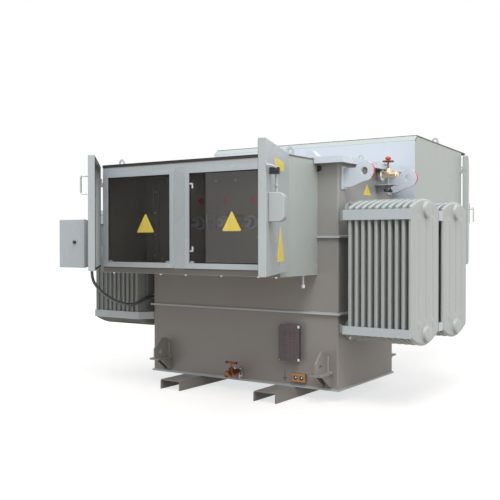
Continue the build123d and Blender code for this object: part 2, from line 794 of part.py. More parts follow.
def hv_roof():
    """A folded roof sheet: short front slope, long back slope and a drip lip."""
    half = HV_W / 2
    y_end = HV_Y1 + HV_ROOF_OVER
    slope = (HV_REAR_Z - HV_PEAK_Z) / (HV_Y1 - HV_Y0 - HV_PEAK_IN)
    z_end = HV_REAR_Z + slope * HV_ROOF_OVER
    peak = HV_Y0 + HV_PEAK_IN
    return plate_yz(
        [
            (HV_Y0, HV_FRONT_Z), (peak, HV_PEAK_Z), (y_end, z_end),
            (y_end, z_end - HV_ROOF_LIP), (y_end - SHEET, z_end - HV_ROOF_LIP),
            (y_end - SHEET, z_end - SHEET - slope * SHEET), (peak, HV_PEAK_Z - SHEET),
            (HV_Y0, HV_FRONT_Z - SHEET),
        ],
        -half, half,
    )


def hv_bushings():
    """Three porcelain bushings with sheds, in the throat."""
    group = []
    start = TANK_D
    root = HV_BUSH_FLANGE_T
    end = start + root + HV_SHEDS * HV_SHED_PITCH
    for x in HV_BUSH_X:
        body = rod_y(x, HV_BUSH_Z, start, start + root, HV_BUSH_FLANGE_R)
        body += rod_y(x, HV_BUSH_Z, start + root, end, HV_BUSH_R)
        for n in range(HV_SHEDS):
            y = start + root + (n + 0.5) * HV_SHED_PITCH
            wide = Plane((x, y, HV_BUSH_Z), z_dir=(0, 1, 0)) * RegularPolygon(HV_SHED_R, SHED_SIDES)
            body += extrude(wide, HV_SHED_T, taper=40)
        body += rod_y(x, HV_BUSH_Z, end, end + HV_STUD_LEN, HV_STUD_R)
        group.append(body)
    return Compound(group)


def panel_outline(x, inset):
    """A panel's outline at x, from Y = 0: straight sides between arched ends.

    The arches are circle arcs, given in a few even steps, because forty panels repeat them.
    """
    half = PANEL_W / 2 - inset
    points = []
    for shoulder, peak, way in (
        (PANEL_SHOULDER_TOP, PANEL_PEAK_TOP - inset, 1),
        (PANEL_SHOULDER_LOW, PANEL_PEAK_LOW + inset, -1),
    ):
        rise = abs(peak - shoulder)
        radius = (half**2 + rise**2) / (2 * rise)
        reach = asin(half / radius)
        for n in range(ARCH_STEPS + 1):
            turn = way * reach * (2 * n / ARCH_STEPS - 1)
            y = PANEL_W / 2 + radius * sin(turn)
            points.append((x, y, peak - way * radius * (1 - cos(turn))))
    return make_face(Polyline(*points, close=True))


def panel(x, fluted):
    """One pressed panel centred on x.

    A fluted one shows its welded seam round the oil space, and the pressed grooves.
    """
    if not fluted:
        return extrude(panel_outline(x - PANEL_T / 2, 0), PANEL_T, dir=(1, 0, 0))
    seam = extrude(panel_outline(x - SEAM_T / 2, 0), SEAM_T, dir=(1, 0, 0))
    face = x + PANEL_T / 2
    body = extrude(panel_outline(x - PANEL_T / 2, SEAM_W), PANEL_T - PANEL_BEVEL, dir=(1, 0, 0))
    body += loft(
        [panel_outline(face - PANEL_BEVEL, SEAM_W), panel_outline(face, SEAM_W + PANEL_BEVEL)]
    )
    plate = seam + body
    for n in range(1, FLUTES):
        y = n * PANEL_W / FLUTES
        plate -= block(
            face - GROOVE_D, face + 1, y - GROOVE_W / 2, y + GROOVE_W / 2, GROOVE_Z0, GROOVE_Z1
        )
    return plate


def header_pipe(z):
    """A header from the tank wall through all panels, with its flange and end cap."""
    wall = TANK_W / 2
    end = wall + RAD_OUT
    across = Pos((wall + end) / 2, PANEL_W / 2, z) * Rot(0, 90, 0)
    half = (end - wall) / 2
    pipe = across * extrude(RegularPolygon(HEADER_R, HEADER_SIDES), half, both=True)
    flange = rod_x(PANEL_W / 2, z, wall, wall + HEADER_FLANGE_T, HEADER_FLANGE_R)
    face = end + PANEL_T / 2
    cap = rod_x(PANEL_W / 2, z, face, face + CAP_OUT, CAP_R)
    cap = chamfer(cap.edges().group_by(Axis.X)[-1], CAP_OUT * 0.5)
    return pipe + flange + cap


def radiator():
    """One bank on the right wall, its front edge at Y = 0."""
    end = TANK_W / 2 + RAD_OUT
    bank = header_pipe(HEADER_TOP_Z) + header_pipe(HEADER_LOW_Z)
    for n in range(PANELS):
        bank += panel(end - n * PANEL_PITCH, n == 0)
    return bank


def radiator_straps(cabinet_side):
    """The flat bars that tie a side's banks, drawn on the right: in front and between them.

    On the left side the front cabinet is in the way of the upper brace, so that bar
    ends in a foot on the cabinet's wall.
    """
    x1 = TANK_W / 2 + RAD_OUT + PANEL_T / 2
    x0 = TANK_W / 2 + RAD_OUT - (PANELS - 1) * PANEL_PITCH - STRAP_PAST
    wall = TANK_W / 2
    front = RAD_Y0
    between = RAD_Y0 + PANEL_W
    bars = []
    for z0, h in ((STRAP_TOP_Z0, STRAP_TOP_H), (STRAP_LOW_Z0, STRAP_LOW_H)):
        if cabinet_side and z0 + h > LV_Z0:
            bar = block(-LV_X0, x1, front - STRAP_T, front, z0, z0 + h)
            foot = block(-LV_X0, -LV_X0 + STRAP_T, front, front + STRAP_FOOT, z0, z0 + h)
            bars.append(bar + foot)
        else:
            bar = block(x0, x1, front - STRAP_T, front, z0, z0 + h)
            tail = make_face(
                Polyline(
                    (x0, front - STRAP_T, z0), (x0, front, z0), (wall, TANK_CORNER_R + STRAP_T, z0),
                    (wall, TANK_CORNER_R, z0), close=True,
                )
            )
            bars.append(bar + extrude(tail, h, dir=(0, 0, 1)))
        bars.append(block(x0 + STRAP_PAST, x1, between, between + RAD_GAP, z0, z0 + h))
    return bars


def drain_valve():
    """Flanged drain valve in the middle of the front wall, with its outlet forward."""
    flange = rod_y(DRAIN_X, DRAIN_Z, -DRAIN_FLANGE_T, 0, DRAIN_FLANGE_R)
    body = rod_y(DRAIN_X, DRAIN_Z, -DRAIN_BODY_L, -DRAIN_FLANGE_T, DRAIN_BODY_R)
    body = chamfer(body.edges().group_by(Axis.Y)[0], 4)
    nose = rod_y(DRAIN_X, DRAIN_Z, -DRAIN_BODY_L - DRAIN_NOSE_L, -DRAIN_BODY_L, DRAIN_NOSE_R)
    neck = rod(DRAIN_X, DRAIN_STEM_Y, DRAIN_Z, DRAIN_NECK_TOP, DRAIN_NECK_R)
    return flange + body + nose + neck


def drain_handle():
    """Stem and crossbar of the drain valve."""
    z0 = DRAIN_NECK_TOP + HINGE_PLAY
    stem = rod(DRAIN_X, DRAIN_STEM_Y, z0, DRAIN_BAR_Z, VALVE_STEM_R)
    half = DRAIN_BAR_L / 2
    bar = rod_x(DRAIN_STEM_Y, DRAIN_BAR_Z, DRAIN_X - half, DRAIN_X + half, DRAIN_BAR_R)
    return stem + bar


def fill_valve():
    """Flanged filling valve high on the right wall, its body along X."""
    wall = TANK_W / 2
    flange = rod_x(FILL_Y, FILL_Z, wall, wall + FILL_FLANGE_T, FILL_FLANGE_R)
    body = rod_x(FILL_Y, FILL_Z, wall + FILL_FLANGE_T, wall + FILL_REACH - 30, FILL_BODY_R)
    cap = rod_x(FILL_Y, FILL_Z, wall + FILL_REACH - 30, wall + FILL_REACH, FILL_BODY_R * 1.25)
    cap = chamfer(cap.edges().group_by(Axis.X)[-1], 4)
    neck = rod(wall + FILL_STEM_OUT, FILL_Y, FILL_Z, FILL_NECK_TOP, FILL_NECK_R)
    return flange + body + cap + neck


def fill_wheel():
    """Stem, hub and rim of the filling valve's hand wheel."""
    x = TANK_W / 2 + FILL_STEM_OUT
    stem = rod(x, FILL_Y, FILL_NECK_TOP + HINGE_PLAY, WHEEL_Z, VALVE_STEM_R)
    hub = rod(x, FILL_Y, WHEEL_Z - 6, WHEEL_Z - 6 + WHEEL_HUB_H, WHEEL_HUB_R)
    z0 = WHEEL_Z - WHEEL_RIM_W / 2
    z1 = WHEEL_Z + WHEEL_RIM_W / 2
    rim = rod(x, FILL_Y, z0, z1, WHEEL_R) - rod(x, FILL_Y, z0 - 1, z1 + 1, WHEEL_R - WHEEL_RIM_W)
    wheel = stem + hub + chamfer(rim.edges().filter_by(GeomType.CIRCLE), WHEEL_RIM_W / 4)
    for n in range(WHEEL_SPOKES):
        turn = 180 * n / WHEEL_SPOKES
        spoke = Rot(0, 0, turn) * Box(2 * WHEEL_R - WHEEL_RIM_W, SPOKE_W, SPOKE_T)
        wheel += Pos(x, FILL_Y, WHEEL_Z) * spoke
    return wheel


def fill_shelf():
    """A drip shelf under the filling valve, on an upright rib."""
    wall = TANK_W / 2
    x1 = wall + FILL_REACH
    y0 = FILL_Y - SHELF_W / 2
    shelf = block(wall, x1, y0, y0 + SHELF_W, SHELF_Z, SHELF_Z + SHELF_T)
    rib = plate_xz(
        [(wall, SHELF_Z), (x1 - 20, SHELF_Z), (wall, SHELF_Z - SHELF_RIB_H)],
        FILL_Y - SHELF_T / 2, FILL_Y + SHELF_T / 2,
    )
    return shelf + rib


def ground_pad():
    """A copper earthing pad with two bolt holes."""
    pad = block(
        PAD_X - PAD_W / 2, PAD_X + PAD_W / 2, -PAD_T, 0, PAD_Z - PAD_H / 2, PAD_Z + PAD_H / 2
    )
    pad = fillet(pad.edges().filter_by(Axis.Y), 3)
    for side in (-1, 1):
        pad -= rod_y(PAD_X + side * PAD_HOLE_PITCH / 2, PAD_Z, -PAD_T - 1, 1, PAD_HOLE_R)
    return pad


def rating_plate():
    """A blank plate held off the wall by two upright channels."""
    plate = block(PLATE_X0, PLATE_X1, -PLATE_OUT, -PLATE_OUT + PLATE_T, PLATE_Z0, PLATE_Z1)
    for x in (PLATE_X0 + PLATE_STAND_IN, PLATE_X1 - PLATE_STAND_IN - PLATE_STAND_W):
        plate += block(
            x, x + PLATE_STAND_W, -PLATE_OUT + PLATE_T, 0, PLATE_Z0 + 12, PLATE_Z1 - 12
        )
    return plate


def cover_top():
    """Height of the cover's upper face."""
    return TANK_TOP + RIM_T + GASKET_T + COVER_T


def relief_device():
    """Pressure relief device on the cover: a coloured foot under a bevelled hood."""
    z0 = cover_top()
    foot = block(
        RELIEF_X - RELIEF_W / 2, RELIEF_X + RELIEF_W / 2, RELIEF_Y - RELIEF_D / 2,
        RELIEF_Y + RELIEF_D / 2, z0, z0 + RELIEF_FOOT_H,
    )
    hood = block(
        RELIEF_X - RELIEF_W / 2 + 6, RELIEF_X + RELIEF_W / 2 - 6, RELIEF_Y - RELIEF_D / 2 + 6,
        RELIEF_Y + RELIEF_D / 2 - 6, z0 + RELIEF_FOOT_H, z0 + RELIEF_H,
    )
    right_top = hood.edges().filter_by(Axis.Y).group_by(Axis.Z)[-1].sort_by(Axis.X)[-1]
    return foot + chamfer(right_top, 0.6 * RELIEF_H)


def roof_eye(x, y, z, width, height):
    """A lifting eye, a plate along X with a round top and a hole."""
    r = width / 2
    plate = block(x - r, x + r, y - EYE_T / 2, y + EYE_T / 2, z, z + height - r)
    plate += rod_y(x, z + height - r, y - EYE_T / 2, y + EYE_T / 2, r)
    return plate - rod_y(x, z + height - r, y - EYE_T, y + EYE_T, EYE_HOLE_R)


def roof_eyes():
    """Lifting eyes on both cabinets' roofs and on the cover."""
    eyes = []
    for x in (LV_X0 + LV_EYE_IN, LV_X1 - LV_EYE_IN):
        eyes.append(roof_eye(x, LV_EYE_Y, LV_Z1, EYE_W, EYE_H))
    slope = (HV_REAR_Z - HV_PEAK_Z) / (HV_Y1 - HV_Y0 - HV_PEAK_IN)
    roof_z = HV_PEAK_Z + slope * (HV_EYE_Y - EYE_T / 2 - HV_Y0 - HV_PEAK_IN)
    for side in (-1, 1):
        x = side * (HV_W / 2 - HV_EYE_IN - EYE_W / 2)
        eye = roof_eye(x, HV_EYE_Y, roof_z - EYE_T, EYE_W, EYE_H + EYE_T)
        eyes.append(eye - roof_under())
        eyes.append(
            roof_eye(
                side * (TANK_W / 2 + RIM_W - COVER_EYE_IN - COVER_EYE_W / 2), COVER_EYE_Y,
                cover_top(), COVER_EYE_W, COVER_EYE_H,
            )
        )
    return Compound(eyes)


def roof_under():
    """The space up to the high-voltage roof's upper face, to trim what stands on it."""
    half = HV_W / 2
    return plate_yz(hv_profile(0, HV_Y0, HV_Y1), -half, half)


def drip_pipe():
    """A small drain pipe with a knob under the low-voltage cabinet."""
    pipe = rod(DRIP_X, DRIP_Y, LV_Z0 - DRIP_L, LV_Z0, DRIP_R)
    knob = rod(DRIP_X, DRIP_Y, LV_Z0 - DRIP_L - DRIP_KNOB_H, LV_Z0 - DRIP_L, DRIP_KNOB_R)
    return pipe + chamfer(knob.edges().group_by(Axis.Z)[0], 3)


def control_box():
    """The body of the control box, closed behind its lid."""
    y0 = CBOX_Y0 + CBOX_LID_T + CBOX_LID_GAP
    body = block(CBOX_X0 + 8, CBOX_X1 - 8, y0, CBOX_Y0 + CBOX_DEPTH, CBOX_Z0, CBOX_Z1)
    body = fillet(body.edges().filter_by(Axis.Y), CBOX_EDGE_R)
    return body


def lid_hinge():
    """Hinge line of the control box's lid."""
    return (CBOX_X0 - HINGE_OUT, CBOX_Y0 + CBOX_LID_T + CBOX_LID_GAP / 2)


def control_lid():
    """The lid with its lock knob, hinged on the left."""
    lid = block(CBOX_X0, CBOX_X1, CBOX_Y0, CBOX_Y0 + CBOX_LID_T, CBOX_Z0 - 4, CBOX_Z1 + 4)
    lid = fillet(lid.faces().sort_by(Axis.Y)[0].edges(), CBOX_EDGE_R)
    x = CBOX_X0 + 0.64 * (CBOX_X1 - CBOX_X0)
    z = (CBOX_Z0 + CBOX_Z1) / 2 + 10
    knob = rod_y(x, z, CBOX_Y0 - KNOB_OUT, CBOX_Y0, KNOB_R)
    lid += chamfer(knob.edges().group_by(Axis.Y)[0], 2)
    hinge_x, hinge_y = lid_hinge()
    for z in (CBOX_Z0 + 70, CBOX_Z1 - 70):
        lid += rod(hinge_x, hinge_y, z + HINGE_PLAY, z + HINGE_H / 2, 5)
        lid += block(
            hinge_x, CBOX_X0 + 20, CBOX_Y0 + CBOX_LID_T - 4, CBOX_Y0 + CBOX_LID_T,
            z + HINGE_PLAY, z + HINGE_H / 2,
        )
    return lid


def lid_knuckles():
    """The box's halves of the lid hinges."""
    hinge_x, hinge_y = lid_hinge()
    y0 = CBOX_Y0 + CBOX_LID_T + CBOX_LID_GAP
    halves = []
    for z in (CBOX_Z0 + 70, CBOX_Z1 - 70):
        half = rod(hinge_x, hinge_y, z - HINGE_H / 2, z, 5)
        half += block(hinge_x, CBOX_X0 + 8, y0 - 1, y0 + 18, z - HINGE_H / 2, z)
        halves.append(half)
    return halves


def control_bracket():
    """The plate behind the control box, bolted to the cabinet's left wall by a flange."""
    y0 = CBOX_Y0 + CBOX_DEPTH
    mid = (CBOX_Z0 + CBOX_Z1) / 2
    z0 = mid - CBOX_BRACKET_H / 2
    z1 = mid + CBOX_BRACKET_H / 2
    arm = block(CBOX_X0 + 60, LV_X0, y0, y0 + CBOX_BRACKET_T, z0, z1)
    flange = block(LV_X0 - CBOX_BRACKET_T, LV_X0, y0 + CBOX_BRACKET_T, y0 + 70, z0, z1)
    return arm + flange


def box_gland():
    """The gland under the control box, where the conduit starts."""
    x, y, z = CONDUIT_POINTS[0]
    nut = Pos(x, y, (z + CBOX_Z0) / 2) * extrude(RegularPolygon(GLAND_R, 6), (CBOX_Z0 - z) / 2, both=True)
    return nut


def tank_gland():
    """An elbow on the tank's left wall whose mouth faces forward."""
    x, y, z = CONDUIT_POINTS[-1]
    half = TANK_GLAND_BLOCK / 2
    elbow = block(x - half + 2, -TANK_W / 2, y + GLAND_L, y + GLAND_L + TANK_GLAND_BLOCK, z - half, z + half)
    elbow = fillet(elbow.edges().filter_by(Axis.X), 8)
    neck = Pos(x, y + GLAND_L / 2, z) * Rot(90, 0, 0) * extrude(
        RegularPolygon(GLAND_R, 6), GLAND_L / 2, both=True
    )
    return elbow + neck


def conduit():
    """The flexible conduit, straight runs joined by arcs as large as they allow."""
    points = [Vector(*p) for p in CONDUIT_POINTS]
    radii = []
    for a, b, c in zip(points, points[1:], points[2:]):
        run = min((b - a).length, (c - b).length)
        turn = radians((b - a).get_angle(c - b))
        radii.append(0.45 * run / (sin(turn / 2) / cos(turn / 2)))
    print("conduit bend radii", [round(r) for r in radii])
    path = FilletPolyline(*points, radius=radii)
    start = (points[1] - points[0]).normalized()
    section = Plane(points[0], z_dir=start) * Circle(CONDUIT_D / 2)
    print("conduit length", round(path.length))
    return sweep(section, path=path)


def build():
    """Every node by name, in the drawing frame."""
    nodes = {
        "skid_left": skid(SKID_LEFT_X),
        "skid_right": skid(SKID_RIGHT_X),
        "tank_floor": tank_floor(),
        "tank_body": tank_body(),
        "tank_cover": tank_cover(),
        "stiffener_low": stiffener_low(),
        "stiffeners_high": Compound([stiffener_high(-1), stiffener_high(1)]),
    }
    lugs = Compound([lifting_lug(LUG_FRONT_Y), lifting_lug(TANK_D - LUG_FRONT_Y)])
    nodes["lifting_lugs_right"] = lugs
    nodes["lifting_lugs_left"] = mirrored(lugs)
    for row, back in (("front", False), ("back", True)):
        pair = [jacking_bracket(x, back) for x in (JACK_LEFT_X, JACK_RIGHT_X)]
        nodes["jacking_brackets_" + row] = Compound(pair)

    housing = lv_housing()
    knuckles = hinge_knuckles(LV_DOOR_Z0, LV_DOOR_Z1)
    housing += left_hand(knuckles, lv_hinge(-1), 0, 0) + right_hand(knuckles, lv_hinge(1), 0, 0)
    nodes["lv_housing"] = housing
    nodes["lv_front"] = lv_front()
    nodes["lv_roof"] = lv_roof()
    windows = ((FRAME_LEFT_X0, FRAME_LEFT_X1), (FRAME_RIGHT_X0, FRAME_RIGHT_X1))
    nodes["lv_window_frames"] = Compound([window_frame(x0, x1) for x0, x1 in windows])
    nodes["lv_window_panes"] = Compound([window_pane(x0, x1) for x0, x1 in windows])
    nodes["lv_hatch"] = lv_hatch()
    nodes["lv_bushings"] = lv_bushings()
    nodes["lv_drain_pipe"] = drip_pipe()

    door = door_pan(lv_door_length(), LV_DOOR_Z0, LV_DOOR_Z1)
    nodes["lv_door_left"] = left_hand(door, lv_hinge(-1), 0, LV_DOOR_LEFT_OPEN)
    nodes["lv_door_right"] = right_hand(door, lv_hinge(1), 0, LV_DOOR_RIGHT_OPEN)
    nodes["lv_door_pull"] = left_hand(pull_handle(), lv_hinge(-1), 0, LV_DOOR_LEFT_OPEN)
    nodes["lv_door_lock"] = right_hand(lock_box(), lv_hinge(1), 0, LV_DOOR_RIGHT_OPEN)

    hv_knuckles = hinge_knuckles(HV_DOOR_Z0, HV_DOOR_Z1)
    housing = hv_housing()
    housing += left_hand(hv_knuckles, hv_hinge(1), 180, 0)
    housing += right_hand(hv_knuckles, hv_hinge(-1), 180, 0)
    nodes["hv_throat"] = hv_throat()
    nodes["hv_housing"] = housing
    nodes["hv_roof"] = hv_roof()
    nodes["hv_bushings"] = hv_bushings()
    door = door_pan(hv_door_length(), HV_DOOR_Z0, HV_DOOR_Z1)
    pull = hv_pull()
    nodes["hv_door_right"] = left_hand(door, hv_hinge(1), 180, HV_DOOR_OPEN)
    nodes["hv_door_left"] = right_hand(door, hv_hinge(-1), 180, HV_DOOR_OPEN)
    nodes["hv_door_right_handle"] = left_hand(pull, hv_hinge(1), 180, HV_DOOR_OPEN)
    nodes["hv_door_left_handle"] = right_hand(pull, hv_hinge(-1), 180, HV_DOOR_OPEN)

    bank = radiator()
    front = Pos(0, RAD_Y0, 0) * bank
    back = Pos(0, RAD_Y0 + PANEL_W + RAD_GAP, 0) * bank
    nodes["radiator_right_front"] = front
    nodes["radiator_right_back"] = back
    nodes["radiator_left_front"] = mirrored(front)
    nodes["radiator_left_back"] = mirrored(back)
    nodes["radiator_straps_right"] = Compound(radiator_straps(False))
    nodes["radiator_straps_left"] = mirrored(Compound(radiator_straps(True)))

    nodes["drain_valve"] = drain_valve()
    nodes["drain_valve_handle"] = drain_handle()
    nodes["fill_valve"] = fill_valve()
    nodes["fill_valve_wheel"] = fill_wheel()
    nodes["fill_valve_shelf"] = fill_shelf()
    nodes["ground_pad"] = ground_pad()
    nodes["rating_plate"] = rating_plate()
    nodes["relief_device"] = relief_device()
    nodes["roof_eyes"] = roof_eyes()

    body = control_box()
    for half in lid_knuckles():
        body += half
    nodes["control_box"] = body
    nodes["control_box_lid"] = control_lid()
    nodes["control_box_bracket"] = control_bracket()
    nodes["conduit_glands"] = Compound([box_gland(), tank_gland()])
    nodes["conduit"] = conduit()
    return nodes
NODES = build()
WHOLE = Compound(list(NODES.values())).bounding_box()
SHIFT = Vector(-(WHOLE.min.X + WHOLE.max.X) / 2, -(WHOLE.min.Y + WHOLE.max.Y) / 2, 0)
print("moved by", round(SHIFT.X, 3), round(SHIFT.Y, 3))
os.makedirs("parts", exist_ok=True)
for name, shape in NODES.items():
    export_step(Pos(SHIFT.X, SHIFT.Y, 0) * shape, f"parts/{name}.step")
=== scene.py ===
"""Dresses the oil-filled power transformer and sets the photograph's view of it.

The solids give every rigid shape. This script gives them their finishes and adds the pressed
radiator panels, the cover's folded edge, bolts, welds, seals, blank signs and the conduit.

Sizes are in millimetres in the tank's own frame: X = 0 at the tank's middle, Y = 0 on its
front wall, Z = 0 on the floor. at() turns such a point into the shared frame, in metres.
"""

from math import cos, pi, radians, sin

import bmesh
import bpy
import numpy as np
from mathutils import Matrix, Vector


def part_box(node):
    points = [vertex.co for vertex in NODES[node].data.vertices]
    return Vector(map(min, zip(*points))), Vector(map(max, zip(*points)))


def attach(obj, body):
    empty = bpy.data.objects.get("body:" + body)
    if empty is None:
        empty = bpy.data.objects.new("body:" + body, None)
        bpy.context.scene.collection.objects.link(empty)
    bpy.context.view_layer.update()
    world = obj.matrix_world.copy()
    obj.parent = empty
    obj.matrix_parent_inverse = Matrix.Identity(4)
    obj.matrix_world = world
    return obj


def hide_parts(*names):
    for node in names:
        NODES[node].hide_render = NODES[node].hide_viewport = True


MM = 0.001

# The photograph's view, fitted to the part: place in the tank's frame, turn, tilt and roll.
CAMERA_PLACE = (3128.1, -4567.0, 1058.0)
CAMERA_TURN = 33.59
CAMERA_TILT = -0.73
CAMERA_ROLL = -0.038
SENSOR = 36.0
FOCAL_PIXELS = 787.15
PHOTO_PIXELS = 500

# How far the floor is lifted towards white where it is only looked at
FLOOR_LIFT = 0.7

# Closing of poles, in metres, and the turn past which an edge stays sharp
POLE_GAP = 3e-5
SHARP = radians(38)

# Directions that pieces stand out along
FRONT = (0, -1, 0)
RIGHT = (1, 0, 0)
UP = (0, 0, 1)

# Sizes of the solids that pieces here sit on
TANK_HALF = 783.0
TANK_DEPTH = 872.0
TANK_LOW = 83.0
FLOOR_LIP = 7.0
COVER_HIGH = 1597.0
LV_LEFT = -854.0
LV_RIGHT = 629.0
LV_FRONT = -467.0
LV_LOW = 829.0
LV_HIGH = 1590.0
PANE_FRONT = -464.0
WINDOWS = ((-802.0, -238.0), (-74.0, 577.0))
WINDOW_LOW = 905.0
WINDOW_HIGH = 1498.0
LV_DOOR_LOW = 866.0
LV_DOOR_HIGH = 1584.0
LV_DOOR_END = 746.5
HV_HALF = 918.0
HV_BACK = 2005.0
HV_DOOR_LOW = 850.0
HV_DOOR_HIGH = 1772.0
HV_DOOR_END = 923.0
DOOR_EDGE = 4.0
DOOR_FACE = -48.0
DOOR_BACK = -6.0
HV_ROOF_EDGE = ((968.0, 1790.0), (1013.0, 1828.0), (2096.0, 1792.0))
HV_RIDGE = (1011.0, 1836.0)
LV_ROOF_EDGE_LOW = 1579.0
COVER_OUT = 54.0
COVER_EDGE_LOW = 1556.0
STIFFENER_LOW = 581.0
STIFFENER_HIGH = 1085.0
LUG_IN = 70.0
JACK_RIBS = (-640.0, 700.0)
JACK_PLATE_TOP = 193.0
BUSHINGS = (-327.0, -107.0, 120.0)
BUSHING_HIGH = 1181.0
PAD_MIDDLE = 495.0
PAD_HIGH = 136.0
PAD_OUT = 20.0
PAD_HOLE_PITCH = 44.5
PLATE_OUT = 50.0
DRAIN_HIGH = 131.0
DRAIN_STEM = -92.0
FILL_MIDDLE = 607.0
FILL_HIGH = 1517.0
FILL_STEM = 863.0
BOX_LEFT = -1289.0
BOX_RIGHT = -1048.0
BOX_LOW = 860.0
BOX_HIGH = 1205.0

# Each door's hinge line, whether it is drawn mirrored, and its turn when it stands open
DOORS = {
    "lv_door_left": ((-862.0, -473.0), False, -48.4),
    "lv_door_right": ((637.0, -473.0), True, 111.7),
    "hv_door_right": ((926.0, 2011.0), False, 107.5),
    "hv_door_left": ((-926.0, 2011.0), True, 252.5),
}

# Pressed radiator panels
PANELS = 10
PITCH = 45.0
PANEL_OUT = 1302.0
PANEL_WIDE = 480.0
PANEL_HALF_THICK = 12.0
SEAM_HALF = 1.5
SEAM_WIDE = 7.0
SHOULDER = 11.0
ARCH_TOP = 1264.0
ARCH_PEAK = 1322.0
ARCH_LOW = 460.0
ARCH_FOOT = 394.0
GROOVE_LOW = 562.0
GROOVE_HIGH = 1153.0
GROOVE_DEEP = 5.0
GROOVE_WIDE = 6.0
HEADER_TOP = 1246.0
HEADER_LOW = 464.0
BOSS_R = 52.0
BOSS_OUT = 22.0
BANK_GAP = 73.0

# The conduit's route, from the control box's gland to the elbow on the tank
CONDUIT_ROUTE = (
    (-1080.0, -352.0, 830.0),
    (-1080.0, -352.0, 778.0),
    (-1050.0, -340.0, 716.0),
    (-1006.0, -298.0, 655.0),
    (-970.0, -250.0, 615.0),
    (-935.0, -202.0, 589.0),
    (-905.0, -153.0, 574.0),
    (-878.0, -104.0, 574.0),
    (-855.0, -51.0, 596.0),
    (-841.0, 8.0, 627.0),
    (-841.0, 66.0, 627.0),
)
CONDUIT_WIDE = 0.022

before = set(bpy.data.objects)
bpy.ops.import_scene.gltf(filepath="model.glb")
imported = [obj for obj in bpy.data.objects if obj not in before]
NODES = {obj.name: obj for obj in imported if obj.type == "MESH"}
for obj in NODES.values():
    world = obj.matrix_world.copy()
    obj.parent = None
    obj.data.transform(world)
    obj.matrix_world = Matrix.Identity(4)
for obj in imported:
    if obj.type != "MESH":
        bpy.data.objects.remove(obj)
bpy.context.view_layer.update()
ROOT = "transformer"

floor_low, floor_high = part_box("tank_floor")
ORIGIN = Vector(((floor_low.x + floor_high.x) / 2, floor_low.y + FLOOR_LIP * MM, 0.0))


def at(x, y, z):
    """A point of the tank's frame, in millimetres, in the shared frame."""
    return ORIGIN + Vector((x, y, z)) * MM


def to_frame(points):
    """Rows of millimetres in the tank's frame as rows of metres in the shared frame."""
    return np.asarray(points, float) * MM + np.array(ORIGIN)


# Shader nodes

def set_inputs(node, **values):
    """Plain values for a node's inputs. In an input's name _ is a space."""
    for name, value in values.items():
        node.inputs[name.replace("_", " ")].default_value = value


def add(tree, kind, settings=None, **inputs):
    """A shader node with its settings and plain input values."""
    made = tree.nodes.new("ShaderNode" + kind)
    for name, value in (settings or {}).items():
        setattr(made, name, value)
    set_inputs(made, **inputs)
    return made


def join(tree, start, out, end, into):
    """A link between two nodes, by socket name or number."""
    tree.links.new(start.outputs[out], end.inputs[into])


def new_group(name, **inputs):
    """An empty node group for a surface's look, with each input's default: a colour or a number."""
    tree = bpy.data.node_groups.new(name, "ShaderNodeTree")
    for label, default in inputs.items():
        kind = "NodeSocketColor" if isinstance(default, tuple) else "NodeSocketFloat"
        made = tree.interface.new_socket(label.replace("_", " "), in_out="INPUT", socket_type=kind)
        made.default_value = default
    for label, kind in (("Color", "Color"), ("Roughness", "Float"), ("Normal", "Vector")):
        tree.interface.new_socket(label, in_out="OUTPUT", socket_type="NodeSocket" + kind)
    return tree, tree.nodes.new("NodeGroupInput"), tree.nodes.new("NodeGroupOutput")


def object_noise(tree, scale, detail=4.0, rough=0.55, stretch=(1, 1, 1)):
    """Noise in the object's own metres, stretched along an axis where stretch is small."""
    place = add(tree, "TexCoord")
    sized = add(tree, "Mapping", Scale=stretch)
    join(tree, place, "Object", sized, "Vector")
    noise = add(tree, "TexNoise", Scale=scale, Detail=detail, Roughness=rough)
    join(tree, sized, "Vector", noise, "Vector")
    return noise


def ranged(tree, source, out, low, high, to_low, to_high):
    """A value mapped from one range to another, clamped."""
    made = add(tree, "MapRange", From_Min=low, From_Max=high, To_Min=to_low, To_Max=to_high)
    join(tree, source, out, made, "Value")
    return made


def times(tree, a, a_out, b, b_out):
    """The product of two values."""
    made = add(tree, "Math", {"operation": "MULTIPLY"})
    join(tree, a, a_out, made, 0)
    join(tree, b, b_out, made, 1)
    return made


def mixed(tree, factor, factor_out, first, first_out, second, second_out):
    """Two colours mixed by a factor."""
    made = add(tree, "Mix", {"data_type": "RGBA"})
    join(tree, factor, factor_out, made, 0)
    join(tree, first, first_out, made, 6)
    join(tree, second, second_out, made, 7)
    return made


def bumped(tree, source, distance, **values):
    """A bump from a noise's value."""
    made = add(tree, "Bump", Distance=distance, **values)
    join(tree, source, "Fac", made, "Height")
    return made


